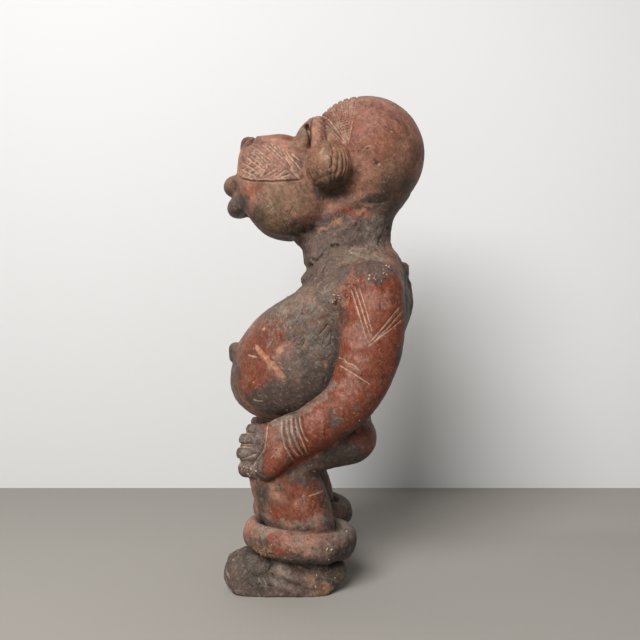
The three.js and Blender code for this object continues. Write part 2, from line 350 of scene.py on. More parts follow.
# The trunk and neck from the top down: each level's height, front, widest place, back and half width.
TRUNK_LEVELS = (
    (440, -8, 34, 97, 42), (428, -14, 32, 91, 45), (416, -19, 30, 84, 46), (398, -25, 28, 80, 45),
    (384, -27, 27, 81, 45), (370, -24, 30, 90, 50), (355, -21, 36, 95, 69), (341, -21, 38, 98, 88),
    (328, -33, 34, 101, 93), (312, -59, 22, 102, 88), (292, -83, 6, 99, 80), (268, -100, -10, 90, 75),
    (244, -107.5, -22, 77, 75), (222, -110, -30, 66, 74), (206, -106, -34, 58, 70),
    (193, -96, -34, 54, 63), (182, -80, -32, 50, 51), (174, -56, -28, 40, 34),
)


def trunk():
    """The trunk and neck as ovals that lie level, read from the table by height."""
    bottom, top = 176, 440
    fine = smooth(TRUNK_LEVELS, np.linspace(0, len(TRUNK_LEVELS) - 1, 400))[::-1]

    def distance(x, y, z):
        height = z.ravel()
        front, widest, back, half = (np.interp(height, fine[:, 0], fine[:, k]) for k in range(1, 5))
        off = y - widest[None, None, :]
        reach = np.where(off > 0, back - widest, widest - front)
        out = oval_distance((x, off), (half[None, None, :], reach))
        slope = np.gradient(out, height, axis=2)
        out = out / np.sqrt(1 + np.minimum(slope * slope, 6))
        return np.maximum(np.maximum(out, bottom - z), z - top).astype(np.float32)

    return Form(np.array([-96, -112, bottom - 4.0]), np.array([96, 104, top + 2.0]), distance)


def model_head(clay):
    """Presses on the skull, the muzzle and cheeks, and then what sits on them."""
    clay.add(ball((0, SKULL["y"], SKULL["z"]), (SKULL["half"], SKULL["radius"], SKULL["radius"])), 12)
    muzzle = [(0, -45, 451, 50.5, 54.5), (0, -8, 460, 48, 49), (0, 30, 473, 48, 50)]
    clay.add(limb(muzzle, domes=(0.98, 0.3)), 12)
    for s in SIDES:
        clay.add(ball((25 * s, -47, 450), (35.5, 53, 60), 25), 8)
        clay.add(ball((22 * s, -77, 481), (27, 20, 24)), 9)
    # Each eye is a bulge in a hollow, under a brow that slopes down from the strap.
    clay.add(ball((0, -12.5, 515.5), (26, 11, 21), -40), 5)
    for s in SIDES:
        clay.add(ball((30 * s, -17, 504), (23, 14, 24), -32), 3)
        slit = [(44 * s, -18.5, 510, 7, 3.6), (48 * s, -16.5, 502, 7, 2.2), (52 * s, -14.5, 491, 6, 1.2)]
        clay.cut(limb(slit, steps=8), 2)
    # The strap of the brow runs from ear to ear over the top of the face, in front of the fringe.
    turns = [math.pi * i / 6 for i in range(7)]
    strap = [(58 * math.cos(a), -7.5, 482 + 43.5 * math.sin(a), 7, 7.2) for a in turns]
    clay.add(limb(strap, side=(0, 1, 0), steps=30), 2)
    under = [(50 * math.cos(a), 7, 482 + 43 * math.sin(a), 10, 8.5) for a in turns]
    clay.add(limb(under, side=(0, 1, 0), steps=30), 5)
    nose = [(0, -87, 499, 14, 13), (0, -70, 496, 12, 11), (0, -24, 499, 15, 12)]
    clay.add(limb(nose, domes=(0.8, 0.3)), 4)
    for s in SIDES:
        clay.add(ball((15 * s, -88, 499), (11, 9.5, 9.5)), 2)
        clay.cut(ball((9 * s, -97, 488), (3.4, 6, 3.4), 50), 1.5)
    for tip, root, z, drop, radius in ((-107, -93, 452.5, 2, 11.5), (-103, -86, 427.5, 6, 11.6)):
        rows = []
        for f in (-1, -0.55, 0, 0.55, 1):
            thick = radius * (1 - 0.25 * f * f)
            rows.append((26 * f, tip + (root - tip) * f * f, z + drop * f * f, thick, thick))
        clay.add(limb(rows, side=(0, 1, 0)), 4)
    clay.add(ball((0, -92, 440), (26, 16, 14)), 4)
    clay.add(ball((0, -22, 394), (30, 15, 12)), 8)
    clay.both(ball(EAR["centre"], EAR["radii"]), 6)


def model_arms(clay):
    """An arm on each side, wound with bracelets at the wrist, and a hand that clasps the knee."""

    def wound(t):
        return 1.6 * step_up(4.35, 4.6, t) * (1 - step_up(5.2, 5.4, t))

    def shoulder_blend(x, y, z):
        return 3 + 5 * step_up(205, 260, z) + 8 * step_up(310, 350, z) + 0 * x

    arm = [
        (82, 52, 324, 29, 33), (87, 52, 286, 28, 34), (90, 44.5, 246, 27, 32.5), (89, 25, 208, 26, 28),
        (85, -9, 182, 24, 25), (81, -36, 168, 20, 24), (77, -55, 156, 16, 29),
    ]
    clay.both(limb(arm, domes=(1.05, 0.4), steps=60, swell=wound), shoulder_blend)
    for z, tip, thick in ((176.5, -86, 5.8), (165, -94, 7), (150.5, -97, 8.4), (133.5, -95, 9)):
        rows = [
            (76, -54, z - 2, thick, thick),
            (75, -72, z, thick * 1.06, thick * 1.04),
            (66, tip + thick, z - 1, thick, thick),
        ]
        clay.both(limb(rows, side=(0, 0, 1), domes=(1, 0.8), steps=8), 3)
    thumb = [(88, -38, 160, 11, 14), (90, -51, 146, 12, 13.5), (85, -62, 133, 10.5, 11)]
    clay.both(limb(thumb, domes=(1, 0.75), steps=10), 2)


def model_legs(clay, spread):
    """Thighs, shins, the rings on the ankles and the feet."""
    clay.add(ball((0, 18, 172), (62, 38, 30)), 10)
    thigh = [(46, 26, 163, 36, 30), (54, -8, 156, 32, 29.5), (spread, -40, 144, 30, 31)]
    clay.both(limb(thigh, domes=(1, 0.9), steps=12), 4)
    shin = [
        (spread, -49, 136, 31, 35),
        (spread, -44, 118, 31, 37),
        (spread, -35.5, 97, 31, 39),
        (spread, -26, 70, 31, 37.5),
        (spread, -24, 34, 31, 36),
    ]
    clay.both(limb(shin, domes=(0.8, 0.3), steps=20), 4)
    for s, half, y in ((1, 67, -43.5), (-1, 59, -34)):
        clay.add(block((spread * s, y, 12), (32, half, 31), 3.0), 3)
        low, high = sorted((20 * s, 100 * s))
        heel, toe = y + half, y - half
        under_heel = (low, heel - 30, -6), (high, heel + 20, 24)
        clay.cut(beyond_plane((0, heel - 19, 0), (0, 0.64, -0.77), *under_heel), 3)
        under_toe = (low, toe - 20, -6), (high, toe + 24, 20)
        clay.cut(beyond_plane((0, toe + 13, 0), (0, -0.6, -0.8), *under_toe), 5)
    clay.both(hoop((spread, -26.5, 56), 40, 52, 11, 16, 5), 3)
    # Earth is packed between each ring and its ankle, but for a hollow at the front and the back.
    clay.both(block((spread, -25, 51), (39, 43, 18), 2.6), 3)


def model_small_things(clay):
    """The navel, the bar at the throat and the knotted ridge down the back."""
    clay.add(block((0, -101, 256), (10, 10.5, 11.5), 3.6), 2)
    throat = [(33, 6, 342, 8, 8), (22, -11, 342, 9, 9.5), (0, -17, 343, 9, 9.5)]
    throat += [(-x, y, z, a, b) for x, y, z, a, b in throat[1::-1]]
    clay.add(limb(throat, side=(0, 0, 1)), 3)
    above = [(42, 6, 356, 4, 3), (26, -14, 356, 4, 3), (0, -24, 356, 3, 3)]
    above += [(-x, y, z, a, b) for x, y, z, a, b in above[1::-1]]
    clay.cut(limb(above, side=(0, 0, 1)), 4)
    clay.add(block((0, 92, 353), (15, 8.5, 11), 2.8), 3)
    clay.add(limb([(0, 94, 336, 12, 9), (0, 97, 312, 13, 10), (0, 90, 286, 10, 8)]), 2.5)
    for s in SIDES:
        clay.cut(limb([(19 * s, 99, 350, 3, 3), (21 * s, 103, 318, 3.5, 3.5), (17 * s, 101, 284, 2, 2)]), 4)
    clay.cut(limb([(0, 64, 188, 1.5, 3), (0, 59, 168, 3, 6), (0, 40, 146, 2, 5)]), 6)
    for z in (342, 325, 308, 292):
        notch = [(-20, 108, z, 2, 1.6), (0, 109, z - 2, 3, 1.6), (20, 108, z, 2, 1.6)]
        clay.cut(limb(notch, side=(0, 1, 0)), 2)


def empty_grid(step):
    """A grid round the figure's box with no clay on it yet."""
    low, high = (np.array(corner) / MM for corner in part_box("figure"))
    return Clay(low - MARGIN, high + MARGIN, step)


def model_figure(step, spread):
    """All the clay of the figure, on a grid with the step given."""
    clay = empty_grid(step)
    clay.add(trunk(), 0)
    model_head(clay)
    model_legs(clay, spread)
    model_arms(clay)
    model_small_things(clay)
    clay.flatten_sole()
    return clay


# A cut of the tool as it is seen from the side: its path as Y and Z, its width and depth, what lies
# in it (if anything does), the sides that have it, and how far from the middle it begins.
Mark = namedtuple("Mark", "path width depth fill sides beyond", defaults=("groove_dust", SIDES, 0.0))


def part_way(path, share):
    """The point at a share of the way along a path."""
    return smooth(path, share * (len(path) - 1))


def cheek_marks():
    """Freehand cuts that cross each other on the cheek, down to the long line of the mouth."""
    falling = [
        [(-94, 466), (-86, 460.5), (-75, 454.5)],
        [(-93, 472.5), (-79, 463), (-71, 457)],
        [(-88, 478.5), (-75, 467.5), (-66, 460)],
        [(-81, 483), (-73, 476), (-62, 463)],
        [(-83, 491), (-74.5, 485), (-64, 476.5), (-51, 463)],
        [(-70, 492), (-60, 482.5), (-48, 470), (-42, 464)],
        [(-60, 493), (-52, 484), (-44, 476.5)],
        [(-53, 492), (-47.5, 480), (-40, 470), (-26.5, 451)],
        [(-43.5, 485), (-38.5, 475.5), (-31, 468)],
        [(-36.5, 480), (-27, 472)],
        [(-33, 471), (-26.5, 461)],
        [(-38, 464), (-34.5, 458), (-27.5, 451)],
    ]
    rising = [
        [(-78, 452.5), (-74.5, 457), (-69, 460)],
        [(-72, 453), (-63, 464.5)],
        [(-67, 453.5), (-60, 458), (-51, 463)],
        [(-60, 453), (-50, 459.5)],
        [(-53, 452.5), (-41, 461.5)],
        [(-48, 452), (-37.5, 456)],
        [(-91, 457), (-87, 462)],
        [(-85, 453.5), (-80, 460)],
    ]
    marks = [Mark(path, 1.8, 1.1, beyond=12) for path in falling + rising]
    # Short rungs join the falling cuts, each pair at its own spacing.
    for path, after in zip(falling[2:8], falling[3:9]):
        ends = [[part_way(line, f) for line in (path, after)] for f in (0.12, 0.5, 0.9)]
        if max(math.dist(*pair) for pair in ends) < 14:
            marks.append(Mark([(a + b) / 2 for a, b in ends], 1.5, 0.7, beyond=12))
    for path, after in zip(falling[:5], falling[1:6]):
        reach = max(3, int(math.dist(path[0], path[-1]) / 5.5))
        for k in range(1, reach):
            ends = part_way(path, k / reach), part_way(after, (k + 0.3) / reach)
            if math.dist(*ends) < 11:
                marks.append(Mark(ends, 1.5, 0.35, beyond=12))
    for path, after in zip(falling[5:9], falling[6:10]):
        for f in (0.12, 0.3, 0.48, 0.66, 0.84):
            ends = part_way(path, f), part_way(after, f + 0.06)
            if math.dist(*ends) < 14:
                marks.append(Mark(ends, 1.5, 0.55, "", beyond=12))
    mouth = [(-97, 458), (-92, 454), (-83, 450.5), (-73, 448.7), (-57.5, 448)]
    mouth += [(-37.5, 448.5), (-26.5, 450), (-23, 452)]
    lip = [(y, z + 1.9) for y, z in mouth[:-2]]
    knob = [(-81, 511), (-79.5, 503), (-82, 495), (-88, 491)]
    crease = [(-104, 455), (-101.5, 450), (-99, 447)]
    return marks + [
        Mark(mouth, 2.2, 2.0, "crevice", beyond=12),
        Mark(lip, 1.6, -0.5, beyond=12),
        Mark(knob, 4, 1.8, "crevice"),
        Mark(crease, 3, 1.0, "crevice", beyond=4),
    ]


def head_marks():
    """The folds under the jaw and at the nape, a chip on the skull and cracks in the neck."""
    jaw = [(-31, 388.5), (-10, 394), (12, 404), (36, 418), (53, 426), (74, 430.5)]
    below = [(-4, 389), (14, 397), (24, 404)]
    collar = [(20, 372), (36, 378.5), (53, 384), (67, 381), (80, 374)]
    return [
        Mark(jaw, 13, 2.4, "", beyond=8),
        Mark([(-38, 392.5), (-18, 396), (1, 394)], 4, 1.2, "", beyond=8),
        Mark([(-16, 410), (2, 405), (18, 398)], 5, 1.2, "", beyond=8),
        Mark([(-12, 402), (4, 399.5), (14, 394)], 3, 0.9, "", beyond=8),
        Mark([(41, 420), (54, 420), (68, 425)], 3, 1.0, "", beyond=8),
        Mark([(38, 413), (41, 420), (46, 425)], 3, 1.0, "", beyond=8),
        Mark([(30, 408), (50, 413), (72, 416)], 4, 0.9, "", beyond=8),
        Mark(below, 6, 1.5, "", beyond=8),
        Mark([(38, 421), (46, 415), (43, 409)], 4, 1.3, "", (1,), 8),
        Mark([(48, 428), (62, 427), (72, 429)], 3, 1.4, "", beyond=8),
        Mark(collar, 10, 2.0, "", beyond=8),
        Mark([(6, 379), (10, 377.8), (13, 379), (18, 378.5)], 3.4, 2.6, "crevice", (1,), 8),
        Mark([(-14, 365), (-9, 362), (-5, 366), (-2, 369)], 3.4, 2.4, "crevice", (1,), 8),
        Mark([(58, 466.5), (62, 467)], 4, 1.4, "groove_dust", (1,), 8),
        Mark([(0, 527), (0.5, 515), (2, 503), (3, 491)], 2.2, 1.6, "crevice", beyond=20),
        Mark([(-13, 524), (-15, 508), (-15, 491)], 2.4, 1.0, "crevice", beyond=30),
        Mark([(6, 472), (8.5, 465), (8, 460), (5, 456)], 1.6, 1.2, "crevice", SIDES, 70),
    ]


def body_marks():
    """The long scratch on the belly, small scratches, and the creases of the legs and feet."""
    return [
        Mark([(-77.5, 268), (-71, 260), (-62, 251), (-42, 232)], 5.6, 0.9, "bare_clay", (1,), 20),
        Mark([(-73, 262.5), (-66, 256), (-60, 252)], 5.5, 0.5, "bare_clay", (1,), 20),
        Mark([(-86, 256), (-80, 254.5), (-73.5, 253.5)], 2, 0.5, "groove_dust", (1,), 20),
        Mark([(12.5, 319), (13, 314), (12.5, 309)], 3, 2.0, "crevice", SIDES, 60),
        Mark([(-79, 207), (-73, 205.5), (-67, 206)], 1.8, 0.5, "groove_dust", (1,), 10),
        Mark([(-68, 286), (-66, 284)], 5, 0.7, "bare_clay", (1,), 20),
        Mark([(-52, 39), (-59, 28), (-44, 16), (-23, 10)], 8, 3.6, "", (1,), 60),
        Mark([(-54, 37), (-60, 27), (-46, 16)], 2.4, 1.2, "crevice", (1,), 60),
        Mark([(-36, 40), (-30, 28), (-20, 22)], 7, 2.6, "", SIDES, 60),
        Mark([(-90, 30), (-76, 22), (-62, 20)], 6, 1.8, "", SIDES, 60),
        Mark([(-22, 34), (-8, 26), (6, 28)], 6, 2.0, "", SIDES, 60),
        Mark([(-48, 40), (-56, 26), (-40, 14)], 8, 2.2, "", (-1,), 60),
        Mark([(-38, 128), (-26, 138), (-12, 141), (2, 138)], 8, 1.6, "", SIDES, 55),
        Mark([(-20, 106), (-10, 107.5), (0, 109)], 1.6, 0.5, "groove_dust", (1,), 60),
    ]


def arm_marks():
    """Two sheaves of cuts that meet in a V, a wavy pair under them, and what shapes the hand."""
    left_only = [
        [(31.4, 330.7), (46.8, 277.4)],
        [(82.7, 306.1), (64, 286), (46.8, 269.7)],
        [(14, 255.8), (20, 254.5), (24, 250.5), (30, 249), (37.6, 241.5)],
    ]
    both = [
        [(27.3, 329.7), (36, 300), (43.7, 273)],
        [(35.5, 330.7), (43, 305), (49.5, 280)],
        [(78.6, 310.2), (62, 290), (45.3, 271)],
        [(81.7, 296.3), (66, 284), (44, 268)],
        [(14, 248.6), (30, 240), (47.8, 228.1)],
    ]
    marks = [Mark(path, 1.6, 1.1, sides=(1,), beyond=84) for path in left_only]
    marks += [Mark(path, 1.6, 1.2, beyond=84) for path in both]
    wrist = [
        [(-45, 190), (-45, 177.5), (-41.5, 163), (-31.5, 144)],
        [(-40.5, 191), (-39, 177.5), (-33.5, 161), (-26, 150)],
        [(-35, 193), (-33.5, 177.5), (-28, 163), (-21.5, 152)],
        [(-30.5, 194.5), (-29, 182), (-23.5, 170), (-18, 154)],
        [(-26, 194.5), (-25.5, 186.5), (-21.5, 174.5), (-16, 167.5)],
    ]
    for path in wrist:
        marks.append(Mark(path, 1.7, 1.5, beyond=55))
        marks.append(Mark([(y + 2.7, z + 1) for y, z in path], 1.9, 1.2, "crevice", beyond=55))
    gaps = [
        [(-90, 171), (-84, 171.5), (-73, 173.5)],
        [(-98, 159), (-90, 160), (-76, 161.5)],
        [(-98, 155.5), (-90, 156.5), (-76, 157.5)],
        [(-100, 142), (-90, 144), (-76, 150), (-70, 153)],
    ]
    marks += [Mark(path, 1.7, 1.3, beyond=50) for path in gaps]
    marks += [Mark([(-60, 188), (-61, 172), (-63, 158), (-73, 144), (-76, 136)], 1.6, 0.9, beyond=60)]
    nail = [(-60, 139), (-66, 139), (-68, 134), (-63, 131)]
    return marks + [Mark(nail, 2.0, 1.0, "crevice", beyond=80)]


# Where fine strokes lie close together: the middle as Y and Z, how far they reach, how many there
# are, their lean and how much it varies in degrees, and how deep they are.
STROKE_PLACES = (
    ((-24, 300), (34, 28), 110, -126, 9, 0.5),
    ((-6, 262), (20, 36), 50, -120, 60, 0.35),
    ((-60, 215), (40, 24), 40, -10, 40, 0.3),
    ((30, 350), (34, 30), 50, -125, 35, 0.4),
    ((-60, 425), (30, 26), 30, -110, 50, 0.3),
    ((60, 480), (46, 50), 24, -70, 70, 0.25),
    ((48, 300), (26, 44), 36, -75, 40, 0.3),
    ((20, 210), (30, 26), 30, -125, 40, 0.3),
    ((-70, 160), (26, 26), 40, -20, 40, 0.4),
    ((-22, 108), (28, 30), 40, -80, 50, 0.35),
    ((-20, 52), (50, 12), 40, -5, 30, 0.45),
    ((-48, 20), (60, 20), 70, -30, 40, 0.6),
)


def strokes():
    """Fine strokes of a scraper and small scratches, some with dust in them."""
    picked = np.random.default_rng(21)
    marks = []
    for middle, reach, count, lean, spread, depth in STROKE_PLACES:
        deep = depth >= 0.5
        fills = ("grey_film", "grey_film", "", "") if deep else ("", "crevice", "", "")
        for _ in range(count):
            start = np.array(middle) + np.array(reach) * picked.uniform(-1, 1, 2)
            turn = math.radians(lean + spread * picked.uniform(-1, 1))
            length = picked.uniform(4, 15) * (1.7 if deep else 1)
            end = start + length * np.array([math.cos(turn), math.sin(turn)])
            bend = (start + end) / 2 + picked.uniform(-1, 1, 2)
            fill = picked.choice(fills)
            sides = (int(picked.choice(SIDES)),)
            width, deeper = picked.uniform(1.1, 1.9), picked.uniform(0.6, 1.6)
            marks.append(Mark((start, bend, end), width, depth * deeper, fill, sides, 12))
    return marks


def near_path(spots, path):
    """How far each spot is from a path, and how far along the path it lies, from 0 to 1."""
    path = np.array(path, float)
    steps = np.linalg.norm(np.diff(path, axis=0), axis=1)
    started = np.concatenate([[0], np.cumsum(steps)])
    best, along = np.full(len(spots), np.inf), np.zeros(len(spots))
    for a, b, begun, step in zip(path, path[1:], started, steps):
        f = np.clip((spots - a) @ (b - a) / (step * step), 0, 1)
        far = np.linalg.norm(spots - a - f[:, None] * (b - a), axis=1)
        closer = far < best
        best[closer], along[closer] = far[closer], (begun + f[closer] * step) / started[-1]
    return best, along


def cut_marks(points, marks):
    """How far the marks press each point in, and how much of each filling lies there."""
    push = np.zeros(len(points))
    fills = {mark.fill: np.zeros(len(points)) for mark in marks if mark.fill}
    upward = np.argsort(points[:, 2])
    heights = points[upward, 2]
    for mark in marks:
        low = np.min(mark.path, axis=0) - 1.5 * mark.width
        high = np.max(mark.path, axis=0) + 1.5 * mark.width
        level = upward[slice(*np.searchsorted(heights, (low[1], high[1])))]
        level = level[(points[level, 1] > low[0]) & (points[level, 1] < high[0])]
        for s in mark.sides:
            near = level[points[level, 0] * s > mark.beyond]
            far, along = near_path(points[near, 1:], mark.path)
            taper = np.clip(7 * np.minimum(along, 1 - along) + 0.3, 0, 1)
            out = far / (0.5 * mark.width * (0.5 + 0.5 * taper))
            # The tool throws up a low rim on each side of its cut.
            push[near] += mark.depth * taper * (np.exp(-out * out) - 0.22 * np.exp(-4 * (out - 1.7) ** 2))
            if mark.fill:
                fill = 1.1 * np.exp(-(out**2)) * taper
                fills[mark.fill][near] = np.maximum(fills[mark.fill][near], fill)
    return push, fills


def fringe(points):
    """Plaits that fan out over the brow from a hinge above each ear, ticked across with a comb."""
    y, z = points[:, 1] - HINGE["y"], points[:, 2] - HINGE["z"]
    reach = np.hypot(y, z)
    turn = np.degrees(np.arctan2(z, y))
    edges = np.array(PLAIT_EDGES_DEG)
    here = (turn > edges[0] - 4) & (turn < edges[-1]) & (reach > 3) & (points[:, 2] > HINGE["z"] - 1)
    plait = np.clip(np.searchsorted(edges, turn) - 1, 0, len(edges) - 2)
    width = edges[plait + 1] - edges[plait]
    u = np.clip((turn - edges[plait]) / width, 0, 1)
    gap = np.radians(np.abs(turn[:, None] - edges).min(axis=1)) * reach
    along = SKULL["radius"] * np.arctan2(reach, np.abs(points[:, 0]))
    slant = np.where(plait % 2, -1, 1) * (u - 0.5) * np.radians(width) * reach * 0.6
    tick = (along + slant) / TICK_SPACING
    tick = (tick - np.round(tick)) * TICK_SPACING
    inside = here & (turn > edges[0])
    crown = np.sqrt(np.clip(1 - (2 * u - 1) ** 2, 0, 1)) * step_up(6, 26, reach)
    ridge = step_up(0.15, 0.4, crown) * (plait < 5)
    ticks = np.exp(-((tick / 0.8) ** 2)) * ridge
    strand = (u * 3) % 1 - 0.5
    strands = np.exp(-((strand / 0.16) ** 2)) * (plait >= 4) * step_up(12, 26, reach)
    seam = np.exp(-((gap / 0.95) ** 2)) * here
    # The plaits are full over the middle of the brow and flatten towards the ears.
    full = 0.7 + 0.9 * (1 - step_up(12, 46, np.abs(points[:, 0])))
    full *= step_up(-1.5, 2, plait)
    push = inside * (1.2 * ticks + 0.6 * strands - full * crown) + 1.5 * seam * step_up(3, 12, reach)
    nearest = np.abs(turn[:, None] - edges).argmin(axis=1)
    lined = np.where((nearest == 0) | (nearest > 5), 0.66, 0.5)
    dust = np.max([inside * 0.57 * (ridge - ticks), inside * 0.6 * strands, seam * lined], axis=0)
    return push, dust


def ear_ribs(points):
    """Upright ribs round the ball of the ear, with a broad smooth one facing out, and pale dust on the
    ridges that is partly a painted highlight.
    """
    middle = EAR["centre"]
    x, y, z = np.abs(points[:, 0]) - middle[0], points[:, 1] - middle[1], points[:, 2] - middle[2]
    out = np.sqrt(sum((v / r) ** 2 for v, r in zip((x, y, z), EAR["radii"])))
    on = (1 - step_up(1.1, 1.25, out)) * step_up(2, 8, x) * (np.abs(out - 1) < 0.25)
    turn = np.degrees(np.arctan2(y, x)) + 4 * lumps(points, 11, 13)
    across = np.radians(np.abs(turn[:, None] - np.array(EAR_GROOVES_DEG))).min(axis=1) * np.hypot(x, y)
    uneven = 0.65 + 0.35 * lumps(points, 8, 14)
    grooves = np.exp(-((across / 1.15) ** 2)) * step_up(3, 12, np.hypot(x, y)) * uneven
    rim = np.exp(-(((z + 15 - 0.25 * y) / 1.6) ** 2)) * step_up(-30, -12, -y) * (y < 8)
    ridges = np.exp(-(((across - 2.2) / 0.8) ** 2)) * uneven
    return on * (2.5 * grooves - 0.4 * ridges + 0.9 * rim), on * 0.5 * ridges


def pits(points, chosen, count, seed, radius, depth):
    """Small holes at random places among the points chosen."""
    picked = np.random.default_rng(seed)
    centres = points[picked.choice(np.flatnonzero(chosen), count, replace=False)]
    sizes = radius * picked.uniform(0.5, 1.2, count)
    push = np.zeros(len(points))
    for centre, size in zip(centres, sizes):
        near = np.flatnonzero((np.abs(points - centre) < 2 * size).all(axis=1))
        far = np.linalg.norm((points[near] - centre) * (1, 1, 1.3), axis=1) / size
        push[near] = np.maximum(push[near], depth * size / radius * np.exp(-(far**4)))
    return push


def all_marks():
    """Every mark of the tool, from the cheeks to the finest strokes."""
    return cheek_marks() + head_marks() + body_marks() + arm_marks() + strokes()


def hand_made(points):
    """The uneven skin that hands leave: broad lumps, and a rougher crust on the neck and feet."""
    z = points[:, 2]
    low = 1 - step_up(34, 60, z)
    neck = step_up(318, 345, z) * (1 - step_up(398, 424, z)) * (points[:, 1] > -40)
    rough = 0.6 + 2.0 * low + 2.0 * neck
    ground = step_up(1.5, 12, z)
    skull = 0.45 + 0.55 * (1 - step_up(430, 480, z))
    swell = 1.1 * skull * lumps(points, 38, 3) + 0.5 * rough * lumps(points, 14, 4)
    swell += 0.32 * rough * skull * lumps(points, 5.5, 5) + 3.0 * low * lumps(points, 24, 6)
    swell += 0.16 * rough * lumps(points, 2.6, 11) + 1.9 * low * (np.abs(lumps(points, 15, 12)) - 0.3)
    return swell * (0.25 + 0.75 * ground)


def relief(points, normals, marks):
    """How far the skin goes in, in millimetres, at each point, and which points are finely worked."""
    cuts, fills = cut_marks(points, marks)
    plaits, plait_dust = fringe(points)
    ribs, rib_dust_and_glint = ear_ribs(points)
    fine = np.max([plait_dust, rib_dust_and_glint, *fills.values()], axis=0) > 0.04
    push = cuts + plaits + ribs
    # The crust of the neck is pitted most, then the feet, the rings and all the rest.
    x, y, z = points.T
    neck = (z > 335) & (z < 408) & (np.abs(y - 25) < 55) & (normals[:, 2] > -0.5)
    feet = (z > 3) & (z < 76)
    rings = (z > 42) & (z < 76) & (np.abs(x) > 70)
    for chosen, count, seed, radius, depth in (
        (neck, 200, 7, 2.0, 1.5),
        (feet, 120, 8, 1.8, 1.1),
        (z > 90, 220, 9, 1.3, 0.6),
        (rings, 240, 10, 1.5, 0.8),
    ):
        push += pits(points, chosen, count, seed, radius, depth)
    return push - hand_made(points), fine


